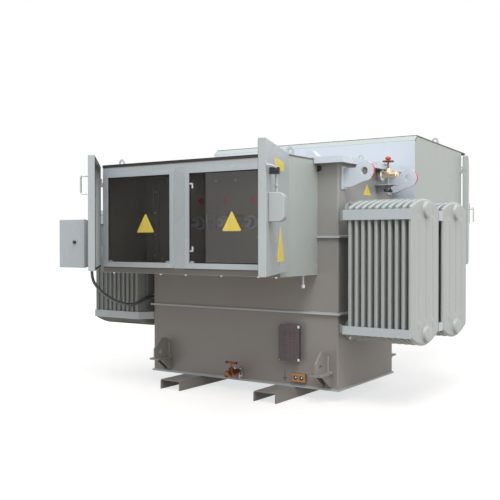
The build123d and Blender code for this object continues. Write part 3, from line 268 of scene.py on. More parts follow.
def paint_group():
    """Baked enamel on sheet steel.

    Slow clouds change its shade a little, rain streaks run down it, dust gathers low down,
    and the surface has the fine dimples of sprayed paint over slightly uneven sheet.
    """
    tree, start, end = new_group(
        "SprayedEnamel",
        Paint=(0.5, 0.5, 0.5, 1),
        Dust=(0.28, 0.24, 0.2, 1),
        Dust_Height=0.3,
        Dust_Amount=0.25,
        Streaks=0.12,
        Gloss_Low=0.3,
        Gloss_High=0.45,
    )
    cloud = object_noise(tree, 1.7, 3.0)
    shade = ranged(tree, cloud, "Fac", 0.3, 0.7, 0.97, 1.03)
    tinted = add(tree, "HueSaturation")
    join(tree, start, "Paint", tinted, "Color")
    join(tree, shade, "Result", tinted, "Value")

    streak = object_noise(tree, 6.0, 3.0, stretch=(3.0, 3.0, 0.12))
    streak_mask = ranged(tree, streak, "Fac", 0.48, 0.82, 0.0, 1.0)
    streaks = times(tree, streak_mask, "Result", start, "Streaks")
    streaked = mixed(tree, streaks, "Value", tinted, "Color", start, "Dust")

    place = add(tree, "TexCoord")
    height = add(tree, "SeparateXYZ")
    join(tree, place, "Object", height, "Vector")
    low = add(tree, "MapRange", From_Min=0.0, To_Min=1.0, To_Max=0.0)
    join(tree, height, "Z", low, "Value")
    join(tree, start, "Dust Height", low, "From Max")
    patch = object_noise(tree, 2.2, 4.0)
    patches = ranged(tree, patch, "Fac", 0.3, 0.7, 0.75, 1.0)
    dust = times(tree, low, "Result", patches, "Result")
    dusted = times(tree, dust, "Value", start, "Dust Amount")
    final = mixed(tree, dusted, "Value", streaked, 2, start, "Dust")
    join(tree, final, 2, end, "Color")

    rough = add(tree, "MapRange", From_Min=0.35, From_Max=0.65)
    join(tree, cloud, "Fac", rough, "Value")
    join(tree, start, "Gloss Low", rough, "To Min")
    join(tree, start, "Gloss High", rough, "To Max")
    join(tree, rough, "Result", end, "Roughness")

    wave = object_noise(tree, 2.4, 0.0)
    sheet = bumped(tree, wave, 0.0012, Strength=0.08)
    dimple = object_noise(tree, 330.0, 2.0)
    orange_peel = bumped(tree, dimple, 0.0004, Strength=0.1)
    join(tree, sheet, "Normal", orange_peel, "Normal")
    join(tree, orange_peel, "Normal", end, "Normal")
    return tree


def metal_group():
    """Bare metal with a fine grain, and darker tarnish in patches."""
    tree, start, end = new_group(
        "WeatheredMetal",
        Metal=(0.6, 0.6, 0.6, 1),
        Tarnish=(0.2, 0.15, 0.1, 1),
        Tarnish_Amount=0.4,
        Grain_Scale=180.0,
        Grain_Depth=0.25,
    )
    patch = object_noise(tree, 38.0, 6.0, 0.65)
    mask = ranged(tree, patch, "Fac", 0.42, 0.68, 0.0, 1.0)
    amount = times(tree, mask, "Result", start, "Tarnish Amount")
    colour = mixed(tree, amount, "Value", start, "Metal", start, "Tarnish")
    join(tree, colour, 2, end, "Color")
    rough = ranged(tree, patch, "Fac", 0.3, 0.7, 0.28, 0.55)
    join(tree, rough, "Result", end, "Roughness")
    grain = object_noise(tree, 1.0, 3.0)
    join(tree, start, "Grain Scale", grain, "Scale")
    bump = bumped(tree, grain, 0.0006)
    join(tree, start, "Grain Depth", bump, "Strength")
    join(tree, bump, "Normal", end, "Normal")
    return tree


def moulded_group():
    """Moulded, fired or printed surfaces: a faint mottle and a fine skin texture."""
    tree, start, end = new_group(
        "MouldedSkin",
        Colour=(0.1, 0.1, 0.1, 1),
        Mottle=0.08,
        Skin_Scale=420.0,
        Skin_Depth=0.15,
        Rough=0.5,
    )
    cloud = object_noise(tree, 21.0, 4.0)
    centred = ranged(tree, cloud, "Fac", 0.3, 0.7, -1.0, 1.0)
    swing = times(tree, centred, "Result", start, "Mottle")
    shade = add(tree, "Math", {"operation": "ADD"})
    shade.inputs[1].default_value = 1.0
    join(tree, swing, "Value", shade, 0)
    tinted = add(tree, "HueSaturation")
    join(tree, start, "Colour", tinted, "Color")
    join(tree, shade, "Value", tinted, "Value")
    join(tree, tinted, "Color", end, "Color")
    rough = times(tree, shade, "Value", start, "Rough")
    join(tree, rough, "Value", end, "Roughness")
    grain = object_noise(tree, 1.0, 2.0)
    join(tree, start, "Skin Scale", grain, "Scale")
    bump = bumped(tree, grain, 0.0004)
    join(tree, start, "Skin Depth", bump, "Strength")
    join(tree, bump, "Normal", end, "Normal")
    return tree


PAINT = paint_group()
METAL = metal_group()
MOULDED = moulded_group()


def new_material(name):
    """A new material, with its node tree and its shader."""
    made = bpy.data.materials.new(name)
    made.use_nodes = True
    return made, made.node_tree, made.node_tree.nodes["Principled BSDF"]


def material(name, group, metallic=0.0, coat=0.0, **values):
    """A material whose colour, roughness and normal come from one of the groups."""
    made, tree, shader = new_material(name)
    set_inputs(shader, Metallic=metallic, Coat_Weight=coat)
    look = tree.nodes.new("ShaderNodeGroup")
    look.node_tree = group
    for label, value in values.items():
        set_inputs(look, **{label: (*value, 1.0) if isinstance(value, tuple) else value})
    join(tree, look, "Color", shader, "Base Color")
    join(tree, look, "Roughness", shader, "Roughness")
    join(tree, look, "Normal", shader, "Normal")
    return made


def enamel(name, colour, **values):
    """Baked enamel of one colour."""
    return material(name, PAINT, Paint=colour, Dust=DUST, **values)


def metal(name, colour, tarnish, metallic=1.0, **values):
    """Bare metal of one colour, and the colour of its tarnish."""
    return material(name, METAL, metallic, Metal=colour, Tarnish=tarnish, **values)


def moulded(name, colour, rough, coat=0.0, **values):
    """A moulded, fired or printed surface of one colour."""
    return material(name, MOULDED, coat=coat, Colour=colour, Rough=rough, **values)


def glass_material():
    """A clear pane with a faint smoky tint, smeared in places."""
    made, tree, shader = new_material("window pane")
    set_inputs(shader, Transmission_Weight=1.0, IOR=1.45)
    cloud = object_noise(tree, 5.0, 4.0)
    tint = add(tree, "ValToRGB")
    darker, lighter = tint.color_ramp.elements
    darker.color = (0.76, 0.75, 0.73, 1)
    lighter.color = (0.84, 0.83, 0.81, 1)
    join(tree, cloud, "Fac", tint, "Fac")
    join(tree, tint, "Color", shader, "Base Color")
    smear = ranged(tree, cloud, "Fac", 0.4, 0.8, 0.0, 0.08)
    join(tree, smear, "Result", shader, "Roughness")
    return made


DUST = (0.19, 0.145, 0.115)
# The tank's enamel is darker than the cabinets' as painted shade, and its dust, spread up to 1.35 m,
# is real dust and painted shade that browns it
shaded_tank_paint = enamel(
    "tank enamel with painted shade", (0.32, 0.305, 0.285), Dust_Amount=0.6, Dust_Height=1.35, Streaks=0.03
)
wall_paint = enamel(
    "fitting enamel", (0.44, 0.46, 0.47), Dust_Amount=0.6, Dust_Height=0.9, Streaks=0.02
)
# The same grey made pale as painted light, for the lifting lugs, the cover's folded edge and the rear
# cabinet's front
lit_pale_paint = enamel("enamel with painted light", (0.61, 0.64, 0.68), Streaks=0.02, Gloss_Low=0.24)
# A near black strip laid on the front plate as painted shade
front_shade_paint = enamel("painted shade strip", (0.135, 0.12, 0.105), Streaks=0.0)
sheet_paint = enamel("cabinet enamel", (0.41, 0.435, 0.40), Streaks=0.03, Gloss_Low=0.26)
door_paint = enamel("door enamel", (0.44, 0.46, 0.45), Streaks=0.03, Gloss_Low=0.24)
# The same grey made lighter as painted light, for frames, cover, stiffeners, straps, roof eyes, the
# box lid and the floor plate's edges
lit_trim_paint = enamel(
    "frame enamel with painted light", (0.47, 0.495, 0.50), Streaks=0.02, Gloss_Low=0.22, Gloss_High=0.34
)
radiator_paint = enamel("radiator enamel", (0.395, 0.41, 0.385), Streaks=0.05, Gloss_Low=0.3)
skid_paint = enamel("skid enamel", (0.22, 0.215, 0.20), Dust_Amount=0.7, Dust_Height=0.2)
# Inner enamel darker than the cabinet's, as painted shade inside the front cabinet
shaded_inside_paint = enamel("inner enamel with painted shade", (0.28, 0.25, 0.22), Streaks=0.0)
weld_paint = enamel("painted weld", (0.385, 0.39, 0.37), Streaks=0.0)
white_paint = enamel("white enamel", (0.58, 0.60, 0.62), Streaks=0.02)
red_paint = moulded("red edge paint", (0.66, 0.012, 0.035), 0.4)
orange_paint = moulded("orange foot paint", (0.60, 0.14, 0.06), 0.5)
knob_paint = moulded("red knob", (0.66, 0.06, 0.015), 0.35, coat=0.3)
steel = metal("zinc plated steel", (0.62, 0.62, 0.61), (0.36, 0.34, 0.31))
polished = metal(
    "polished steel", (0.72, 0.75, 0.76), (0.5, 0.5, 0.5), Tarnish_Amount=0.15, Grain_Depth=0.05
)
dark_steel = metal("blackened steel", (0.10, 0.095, 0.09), (0.05, 0.045, 0.04), metallic=0.9)
bronze = metal(
    "cast bronze", (0.27, 0.105, 0.05), (0.04, 0.017, 0.012), metallic=0.8,
    Tarnish_Amount=0.85, Grain_Scale=320.0, Grain_Depth=0.5,
)
brass = metal(
    "cast brass", (0.95, 0.80, 0.60), (0.60, 0.38, 0.22),
    Tarnish_Amount=0.4, Grain_Scale=320.0, Grain_Depth=0.4,
)
copper = metal(
    "copper pad", (0.46, 0.25, 0.12), (0.20, 0.085, 0.045), metallic=0.8, Tarnish_Amount=0.45
)
tinned = metal(
    "tinned copper", (0.50, 0.50, 0.49), (0.30, 0.29, 0.27), Tarnish_Amount=0.5, Grain_Depth=0.1
)
etched = metal(
    "etched plate", (0.105, 0.08, 0.083), (0.07, 0.055, 0.06), metallic=0.3,
    Tarnish_Amount=0.5, Grain_Scale=90.0, Grain_Depth=0.08,
)
rule_ink = moulded("plate rules", (0.06, 0.045, 0.05), 0.5)
rubber = moulded("black rubber", (0.018, 0.017, 0.016), 0.75)
# Near black: a seal on the front roof's lip, and painted shade on the drip tip beside the cabinet
roof_seal_and_shade = moulded("roof edge seal and painted shade", (0.03, 0.022, 0.018), 0.6)
drip_edge = moulded("roof drip edge", (0.16, 0.13, 0.115), 0.6)
black = moulded("black plastic", (0.02, 0.02, 0.025), 0.4, coat=0.2)
conduit_skin = moulded("conduit sheath", (0.05, 0.055, 0.06), 0.3, coat=0.5, Skin_Depth=0.05)
porcelain = moulded("glazed porcelain", (0.16, 0.07, 0.04), 0.2, coat=0.6, Mottle=0.12)
ceramic = moulded("grey ceramic", (0.42, 0.47, 0.50), 0.35, coat=0.3)
yellow = moulded("yellow sign", (0.80, 0.61, 0.10), 0.42, Mottle=0.05)
paper = moulded("white clip", (0.75, 0.77, 0.78), 0.5)
glass = glass_material()


# Mesh making

def show(thing):
    """Puts an object into the scene."""
    bpy.context.scene.collection.objects.link(thing)


def make(name, points, faces, finish, body=ROOT):
    """A mesh piece from points in the tank's frame, riding on a body.

    Rings drawn at a pole are merged into one point, faces are turned outwards, and edges
    that turn by more than SHARP stay sharp.
    """
    mesh = bpy.data.meshes.new(name)
    mesh.from_pydata(to_frame(points).tolist(), [], [list(map(int, face)) for face in faces])
    mesh.materials.append(finish)
    shell = bmesh.new()
    shell.from_mesh(mesh)
    bmesh.ops.remove_doubles(shell, verts=shell.verts, dist=POLE_GAP)
    bmesh.ops.recalc_face_normals(shell, faces=shell.faces)
    shell.to_mesh(mesh)
    shell.free()
    mesh.polygons.foreach_set("use_smooth", [True] * len(mesh.polygons))
    mesh.set_sharp_from_angle(angle=SHARP)
    piece = bpy.data.objects.new(name, mesh)
    show(piece)
    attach(piece, body)
    return piece


def merged(parts):
    """Several (points, faces) meshes as one."""
    points, faces, start = [], [], 0
    for some_points, some_faces in parts:
        points.append(np.asarray(some_points, float))
        faces.extend([[index + start for index in face] for face in some_faces])
        start += len(some_points)
    return np.vstack(points), faces


def grid_faces(rows, columns, wrap=False):
    """Quads over a grid of points, row by row; wrap closes each row."""
    faces = []
    for r in range(rows - 1):
        here, after = r * columns, (r + 1) * columns
        for c in range(columns if wrap else columns - 1):
            d = (c + 1) % columns
            faces.append((here + c, here + d, after + d, after + c))
    return faces


def tube_faces(rows, count):
    """Quads round a tube of rows of count points, and its two ends."""
    ends = [tuple(range(count)), tuple(range((rows - 1) * count, rows * count))]
    return grid_faces(rows, count, wrap=True) + ends


def frame_of(axis):
    """Two directions square to an axis, and the axis, as rows."""
    axis = np.asarray(axis, float)
    axis = axis / np.linalg.norm(axis)
    help_axis = np.array((0.0, 0.0, 1.0)) if abs(axis[2]) < 0.9 else np.array((1.0, 0.0, 0.0))
    side = np.cross(axis, help_axis)
    side /= np.linalg.norm(side)
    return np.array((side, np.cross(axis, side), axis))


def unit_ring(axis, steps):
    """Points of a circle of radius 1 square to an axis, and the axis's direction."""
    side, other, along = frame_of(axis)
    angle = np.linspace(0, 2 * pi, steps, endpoint=False)
    return np.outer(np.cos(angle), side) + np.outer(np.sin(angle), other), along


def turned(profile, place, axis, steps=32):
    """A surface of revolution: profile rows are (radius, height) along the axis from place."""
    ring, along = unit_ring(axis, steps)
    rows = [np.asarray(place) + max(r, 0.01) * ring + h * along for r, h in profile]
    return np.vstack(rows), grid_faces(len(profile), steps, wrap=True)


def prism(sides, radius, place, axis, height, chamfer=0.12):
    """A bolt head or nut: a polygon along an axis with its outer corners eased."""
    ring, along = unit_ring(axis, sides)
    ease = chamfer * radius
    levels = ((radius, 0.0), (radius, height - ease), (radius - ease, height))
    rows = [np.asarray(place) + r * ring + h * along for r, h in levels]
    faces = grid_faces(len(levels), sides, wrap=True)
    faces.append(tuple(range(2 * sides, 3 * sides)))
    return np.vstack(rows), faces


def bolt(place, axis, size=8.0):
    """A hex head on its washer. size is the thread's width."""
    washer = turned(
        [(0, 0), (1.1 * size, 0), (1.1 * size, 0.18 * size), (0, 0.18 * size)], place, axis, 20
    )
    seat = np.asarray(place) + 0.18 * size * frame_of(axis)[2]
    return merged([washer, prism(6, 0.92 * size, seat, axis, 0.65 * size)])


def bolt_circle(place, axis, radius, count, first, size):
    """Bolts in a circle round a place, square to a level axis. first is the first one's angle."""
    level = np.array((abs(axis[1]), abs(axis[0]), 0.0))
    bolts = []
    for n in range(count):
        turn = first + n * 2 * pi / count
        away = cos(turn) * level + sin(turn) * np.array(UP)
        bolts.append(bolt(np.asarray(place) + radius * away, axis, size))
    return bolts


def slab(x0, x1, y0, y1, z0, z1):
    """The eight corners and six faces of a thin plate."""
    points = [(x, y, z) for z in (z0, z1) for y in (y0, y1) for x in (x0, x1)]
    faces = [(0, 2, 3, 1), (4, 5, 7, 6), (0, 1, 5, 4), (2, 6, 7, 3), (0, 4, 6, 2), (1, 3, 7, 5)]
    return points, faces


def swept(path, section):
    """A section of (side, up) rows carried along a path, square to it all the way."""
    path = np.asarray(path, float)
    section = np.asarray(section, float)
    tangents = np.gradient(path, axis=0)
    tangents /= np.linalg.norm(tangents, axis=1)[:, None]
    side, up, _ = frame_of(tangents[0])
    rows = []
    for point, along in zip(path, tangents):
        side = side - along * np.dot(side, along)
        side /= np.linalg.norm(side)
        up = np.cross(along, side)
        rows.append(point + np.outer(section[:, 0], side) + np.outer(section[:, 1], up))
    return np.vstack(rows), tube_faces(len(path), len(section))


def circle_section(radius, sides=10):
    """A round section for swept()."""
    return [(radius * cos(2 * pi * n / sides), radius * sin(2 * pi * n / sides)) for n in range(sides)]


def weld(start, end, size=5.0):
    """A painted weld bead: a ripple of overlapping ridges along a straight seam.

    Its radius is size times 1 + 0.12 sin(2 pi s / 7 mm), with s the way along the seam.
    """
    start, end = np.asarray(start, float), np.asarray(end, float)
    length = np.linalg.norm(end - start)
    steps = max(4, int(length / 3.5))
    way = np.linspace(0, 1, steps + 1)
    ring, _ = unit_ring(end - start, 6)
    radius = size * (1 + 0.12 * np.sin(2 * pi * way * length / 7.0))
    radius[[0, -1]] = 0.01
    rows = start + way[:, None, None] * (end - start) + radius[:, None, None] * ring
    return rows.reshape(-1, 3), grid_faces(len(way), len(ring), wrap=True)


def band(x0, x1, z0, z1, wide, y0, y1):
    """A flat band round a rectangle, wide inwards from it, between two planes of constant Y."""
    rings = []
    for y in (y0, y1):
        for inset in (0, wide):
            rings.append([
                (x0 + inset, y, z0 + inset), (x1 - inset, y, z0 + inset),
                (x1 - inset, y, z1 - inset), (x0 + inset, y, z1 - inset),
            ])
    faces = []
    for first, second in ((0, 1), (1, 3), (3, 2), (2, 0)):
        for n in range(4):
            m = (n + 1) % 4
            faces.append((4 * first + n, 4 * first + m, 4 * second + m, 4 * second + n))
    return np.vstack(rings), faces


def screw(place, axis, size=5.0):
    """A pan head screw: a low dome, radius size times the cosine of a quarter turn."""
    turn = np.linspace(0, pi / 2, 6)
    dome = [(size, 0.0)] + [(size * cos(a), size * (0.15 + 0.45 * sin(a))) for a in turn]
    return turned(dome, place, axis, 14)


def sign(corners, way, thick):
    """A thin flat plate with the given corners, standing out along way."""
    corners = np.asarray(corners, float)
    count = len(corners)
    points = np.vstack([corners, corners + thick * np.asarray(way, float)])
    ends = [tuple(range(count)), tuple(range(count, 2 * count))]
    return points, ends + grid_faces(2, count, wrap=True)


def rounded(corners, share=0.1, steps=5):
    """A flat outline whose corners are cut back by a share of their sides, with curved ends.

    Each corner becomes the quadratic curve from one side to the next through the corner.
    """
    corners = np.asarray(corners, float)
    before = np.roll(corners, 1, axis=0)
    after = np.roll(corners, -1, axis=0)
    t = np.linspace(0, 1, steps)[None, :, None]
    start = (corners + share * (before - corners))[:, None, :]
    end = (corners + share * (after - corners))[:, None, :]
    middle = corners[:, None, :]
    return ((1 - t) ** 2 * start + 2 * t * (1 - t) * middle + t**2 * end).reshape(-1, 3)


def on_door(points, door):
    """Points drawn at a door's hinge line, as in its solid, moved to the open door."""
    hinge, flipped, turn = DOORS[door]
    points = np.array(points, float)
    if flipped:
        points[:, 0] *= -1
    c, s = cos(radians(turn)), sin(radians(turn))
    x = points[:, 0] * c - points[:, 1] * s + hinge[0]
    y = points[:, 0] * s + points[:, 1] * c + hinge[1]
    return np.stack([x, y, points[:, 2]], axis=-1)


def fit(name, parts, finish, body=ROOT):
    """One piece out of several (points, faces) meshes."""
    points, faces = merged(parts)
    return make(name, points, faces, finish, body)


def fit_on_door(name, parts, finish, door):
    """One piece out of several meshes drawn at a door's hinge line, riding on the open door."""
    points, faces = merged(parts)
    return make(name, on_door(points, door), faces, finish, door)


# Camera, floor and light

def look_from_photo():
    """The camera at the photograph's place, turn and field of view."""
    psi, theta, rho = radians(CAMERA_TURN), radians(CAMERA_TILT), radians(CAMERA_ROLL)
    ahead = Vector((-sin(psi) * cos(theta), cos(psi) * cos(theta), sin(theta)))
    level = Vector((cos(psi), sin(psi), 0.0))
    up = level.cross(ahead)
    right = level * cos(rho) + up * sin(rho)
    above = up * cos(rho) - level * sin(rho)
    data = bpy.data.cameras.new("photograph")
    data.sensor_fit = "HORIZONTAL"
    data.sensor_width = SENSOR
    data.lens = FOCAL_PIXELS / PHOTO_PIXELS * SENSOR
    camera = bpy.data.objects.new("photograph", data)
    axes = Matrix((right, above, -ahead)).transposed()
    camera.matrix_world = Matrix.Translation(at(*CAMERA_PLACE)) @ axes.to_4x4()
    show(camera)
    bpy.context.scene.camera = camera


def lay_floor():
    """A plain pale floor.

    Seen straight on, in a reflection or through glass it is lifted towards white.
    """
    size = 40000.0
    floor = bpy.data.objects.new("floor", bpy.data.meshes.new("floor"))
    corners = [(-size, -size, 0), (size, -size, 0), (size, size, 0), (-size, size, 0)]
    floor.data.from_pydata(to_frame(corners).tolist(), [], [(0, 1, 2, 3)])
    made = moulded("pale floor", (0.28, 0.24, 0.205), 0.9, Mottle=0.02, Skin_Scale=60.0)
    tree = made.node_tree
    seen = seen_by_eye(tree)
    lift = add(tree, "Math", {"operation": "MULTIPLY"})
    lift.inputs[1].default_value = FLOOR_LIFT
    join(tree, seen, "Value", lift, 0)
    shader = tree.nodes["Principled BSDF"]
    set_inputs(shader, Emission_Color=(0.97, 0.99, 1.0, 1.0))
    join(tree, lift, "Value", shader, "Emission Strength")
    floor.data.materials.append(made)
    show(floor)


def seen_by_eye(tree):
    """1 for rays that show the background: from the camera, off gloss and through glass."""
    path = add(tree, "LightPath")
    first = add(tree, "Math", {"operation": "MAXIMUM"})
    join(tree, path, "Is Camera Ray", first, 0)
    join(tree, path, "Is Glossy Ray", first, 1)
    second = add(tree, "Math", {"operation": "MAXIMUM"})
    join(tree, first, "Value", second, 0)
    join(tree, path, "Is Transmission Ray", second, 1)
    return second


def area_light(name, place, target, size, power, colour):
    """A large soft light aimed at a point."""
    data = bpy.data.lights.new(name, "AREA")
    data.shape = "DISK"
    data.size = size
    data.energy = power
    data.color = colour
    lamp = bpy.data.objects.new(name, data)
    lamp.location = at(*place)
    lamp.rotation_euler = (at(*target) - lamp.location).to_track_quat("-Z", "Y").to_euler()
    show(lamp)


def light_scene():
    """A bluish overcast sky, brightest overhead, a high broad lamp and a weak fill from the right."""
    world = bpy.data.worlds.new("overcast")
    bpy.context.scene.world = world
    world.use_nodes = True
    tree = world.node_tree
    place = add(tree, "TexCoord")
    split = add(tree, "SeparateXYZ")
    join(tree, place, "Generated", split, "Vector")
    ramp = add(tree, "ValToRGB")
    level, overhead = ramp.color_ramp.elements
    level.color = (0.30, 0.285, 0.27, 1)
    overhead.position = 0.8
    overhead.color = (1.50, 1.64, 1.82, 1)
    join(tree, split, "Z", ramp, "Fac")
    white = add(tree, "RGB")
    white.outputs[0].default_value = (1, 1, 1, 1)
    chosen = mixed(tree, seen_by_eye(tree), "Value", ramp, "Color", white, "Color")
    sky = tree.nodes["Background"]
    set_inputs(sky, Strength=1.0)
    join(tree, chosen, 2, sky, "Color")
    area_light("high key", (4200, -4200, 9500), (0, 0, 1200), 5.0, 640.0, (0.95, 0.98, 1.0))
    area_light("right fill", (9000, -1500, 2600), (0, 400, 1100), 4.0, 90.0, (1.0, 0.99, 0.96))
    view = bpy.context.scene.view_settings
    view.view_transform = "Standard"
    view.look = "None"
    view.exposure = 0.0
    view.gamma = 1.0


# The conduit

def lay_conduit():
    """The sheathed conduit that hangs between the control box and the tank."""
    curve = bpy.data.curves.new("conduit_sheath", "CURVE")
    curve.dimensions = "3D"
    curve.bevel_depth = CONDUIT_WIDE / 2
    curve.bevel_resolution = 5
    curve.resolution_u = 16
    curve.use_fill_caps = True
    spline = curve.splines.new("NURBS")
    spline.points.add(len(CONDUIT_ROUTE) - 1)
    for point, place in zip(spline.points, CONDUIT_ROUTE):
        point.co = (*at(*place), 1.0)
    spline.order_u = 3
    spline.use_endpoint_u = True
    curve.materials.append(conduit_skin)
    piece = bpy.data.objects.new("conduit_sheath", curve)
    show(piece)
    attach(piece, ROOT)
    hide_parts("conduit")


look_from_photo()
lay_conduit()
lay_floor()
light_scene()

# Finishes of the solids

FINISHES = (
    # The tank and its jacking brackets take the darker tank enamel, which holds painted shade
    (shaded_tank_paint, "tank_body tank_floor jacking_brackets_front jacking_brackets_back"),
    # Frames, cover, stiffeners, straps, roof eyes and the box lid take the lighter frame enamel as
    # painted light
    (lit_trim_paint, "stiffener_low stiffeners_high tank_cover lv_window_frames control_box_lid"),
    (lit_trim_paint, "radiator_straps_left radiator_straps_right roof_eyes"),
    (skid_paint, "skid_left skid_right"),
    (sheet_paint, "lv_housing lv_roof hv_housing hv_roof hv_door_left hv_door_right control_box"),
    (door_paint, "lv_front lv_door_left lv_door_right lv_door_lock"),
    # The lifting lugs take the pale enamel as painted light
    (lit_pale_paint, "lifting_lugs_left lifting_lugs_right"),
    (white_paint, "lv_drain_pipe relief_device"),
    # The hatch inside the front cabinet takes the darker inner enamel as painted shade
    (shaded_inside_paint, "lv_hatch"),
    (glass, "lv_window_panes"),
    (ceramic, "lv_bushings"),
    (porcelain, "hv_bushings"),
    (steel, "lv_door_pull hv_door_left_handle hv_door_right_handle conduit_glands"),
    (bronze, "drain_valve drain_valve_handle fill_valve_wheel"),
    (brass, "fill_valve"),
    (copper, "ground_pad"),
    (etched, "rating_plate"),
)
for node_object in NODES.values():
    node_object.data.materials.clear()
    node_object.data.materials.append(wall_paint)
for finish, node_names in FINISHES:
    for node_name in node_names.split():
        NODES[node_name].data.materials[0] = finish


def second_finish(node, finish, test):
    """Gives a node's faces that pass test(centre in mm, normal) another finish."""
    mesh = NODES[node].data
    mesh.materials.append(finish)
    slot = len(mesh.materials) - 1
    for face in mesh.polygons:
        centre = (face.center - ORIGIN) / MM
        if test(centre, face.normal):
            face.material_index = slot


def inside_front_cabinet(centre, normal):
    """True for faces of the front cabinet's shell that look into it."""
    if not (LV_LEFT + 1 < centre.x < LV_RIGHT - 1 and LV_FRONT < centre.y < 2):
        return False
    return LV_LOW + 1 < centre.z < LV_HIGH - 1 and abs(normal.y) < 0.5 or normal.y < -0.5


SECOND_FINISHES = (
    # Faces inside the front cabinet, the back of its front plate and its roof's underside take the
    # darker inner enamel as painted shade
    ("lv_housing", shaded_inside_paint, inside_front_cabinet),
    ("lv_front", shaded_inside_paint, lambda c, n: n.y > 0.5),
    ("lv_roof", roof_seal_and_shade, lambda c, n: n.y < -0.9),
    ("lv_roof", shaded_inside_paint, lambda c, n: n.z < -0.5 and c.y > LV_FRONT + 2),
    ("lifting_lugs_right", red_paint, lambda c, n: c.x > 985 and n.x > 0.5),
    ("lifting_lugs_left", red_paint, lambda c, n: c.x < -985 and n.x < -0.5),
    ("lv_bushings", tinned, lambda c, n: c.y < -79),
    ("hv_bushings", brass, lambda c, n: c.y > TANK_DEPTH + 299),
    ("relief_device", orange_paint, lambda c, n: c.z < COVER_HIGH + 11),
    ("drain_valve", shaded_tank_paint, lambda c, n: c.y > -15),
    ("fill_valve", wall_paint, lambda c, n: c.x < TANK_HALF + 13),
    ("control_box_lid", black, lambda c, n: c.y < -470.5),
    ("hv_roof", drip_edge, lambda c, n: abs(n.x) > 0.9 or c.z < 1783),
    ("lv_drain_pipe", paper, lambda c, n: c.z < LV_LOW - 61),
    ("lv_door_lock", black, lambda c, n: c.z > 1405),
    # The floor plate's edges take the lighter frame enamel as painted light
    ("tank_floor", lit_trim_paint, lambda c, n: abs(n.z) < 0.5),
    # The rear cabinet's front faces take the pale enamel as painted light
    ("hv_housing", lit_pale_paint, lambda c, n: n.y < -0.5 and c.y < 968),
)
for row in SECOND_FINISHES:
    second_finish(*row)


# Radiators

def arch(y, shoulder, peak):
    """Height of a panel's arched end at y: a circle arc through both shoulders and the peak."""
    half = PANEL_WIDE / 2
    rise = peak - shoulder
    radius = (half**2 + rise**2) / (2 * abs(rise))
    drop = radius - np.sqrt(radius**2 - (y - half) ** 2)
    return peak - np.sign(rise) * drop


def bump_at(y, z, y0, z0, size):
    """A round bump of height 1 at (y0, z0), fading like a bell curve."""
    return np.exp(-((y - y0) ** 2 + (z - z0) ** 2) / (2 * size**2))


def panel_half(y, z):
    """Half the thickness of a pressed panel at (y, z).

    It is the thin seam near the outline, then rises in a quarter ellipse to the full body.
    Three upright grooves part the body into four flutes, with a bump past each end. Past the
    bumps of the outer two lies a hollow, and a raised disc surrounds each header.
    """
    top = arch(y, ARCH_TOP, ARCH_PEAK)
    low = arch(y, ARCH_LOW, ARCH_FOOT)
    inside = np.minimum.reduce([y, PANEL_WIDE - y, top - z, z - low]) - SEAM_WIDE
    t = np.clip(inside / SHOULDER, 0.0, 1.0)
    rise = np.sqrt(1.0 - (1.0 - t) ** 2)
    half = SEAM_HALF + (PANEL_HALF_THICK - SEAM_HALF) * rise
    ends = 1 / (1 + np.exp(-(z - GROOVE_LOW) / 4)) / (1 + np.exp((z - GROOVE_HIGH) / 4))
    for n in (1, 2, 3):
        middle = n * PANEL_WIDE / 4
        half = half - GROOVE_DEEP * np.exp(-((y - middle) / GROOVE_WIDE) ** 2) * ends
        for z0 in (GROOVE_LOW - 26, GROOVE_HIGH + 30):
            half = half + 4.5 * bump_at(y, z, middle, z0, 6.0)
    for n in (1, 3):
        for z0 in (GROOVE_LOW - 62, GROOVE_HIGH + 66):
            half = half - 4.0 * bump_at(y, z, n * PANEL_WIDE / 4, z0, 8.0)
    for z0 in (HEADER_TOP, HEADER_LOW):
        away = np.hypot(y - PANEL_WIDE / 2, z - z0)
        half = half + 2.0 / (1 + np.exp((away - BOSS_R - 12) / 3))
    return half


def panel_grid():
    """Sample places over a panel: close together near the outline, grooves and dimples."""
    edge = np.array([0, 3, 7, 8, 9.5, 12, 15, 19, 24])
    across = np.concatenate([edge, PANEL_WIDE - edge, np.linspace(32, PANEL_WIDE - 32, 11)])
    for n in (1, 2, 3):
        across = np.concatenate([across, n * PANEL_WIDE / 4 + np.array([-14, -8, -4, 0, 4, 8, 14])])
    across = np.unique(np.round(across, 2))
    inner = np.concatenate([
        np.linspace(492, 1232, 26), [540, 546, 551, 556, 560, 565, 571, 1144, 1150, 1156, 1162],
        [494, 500, 506, 530, 536, 1176, 1183, 1190, 1213, 1219, 1225],
    ])
    return across, edge, np.unique(np.round(inner, 2))


def panel_mesh():
    """Both faces of one pressed panel, as a grid over (y, z) whose ends follow the arches."""
    across, edge, inner = panel_grid()
    top = arch(across, ARCH_TOP, ARCH_PEAK)
    low = arch(across, ARCH_LOW, ARCH_FOOT)
    rows = [low + e for e in edge]
    rows += [np.full_like(across, z) for z in inner]
    rows += [top - e for e in edge[::-1]]
    z = np.vstack(rows)
    y = np.tile(across, (len(rows), 1))
    half = panel_half(y, z)
    right = np.stack([half, y, z], axis=-1).reshape(-1, 3)
    left = np.stack([-half, y, z], axis=-1).reshape(-1, 3)
    count = len(across)
    front = grid_faces(len(rows), count)
    size = len(right)
    back = [tuple(index + size for index in reversed(face)) for face in front]
    border = [r * count for r in range(len(rows))]
    border += [(len(rows) - 1) * count + c for c in range(1, count)]
    border += [r * count + count - 1 for r in range(len(rows) - 2, -1, -1)]
    border += [c for c in range(count - 2, 0, -1)]
    rim = []
    for n, here in enumerate(border):
        there = border[(n + 1) % len(border)]
        rim.append((here, there, there + size, here + size))
    return np.vstack([right, left]), front + back + rim


def fit_beside(name, parts, finish, side):
    """One piece out of meshes drawn on the right, mirrored where it stands on the left."""
    points, faces = merged(parts)
    if side == "left":
        points[:, 0] *= -1
    return make(name, points, faces, finish)


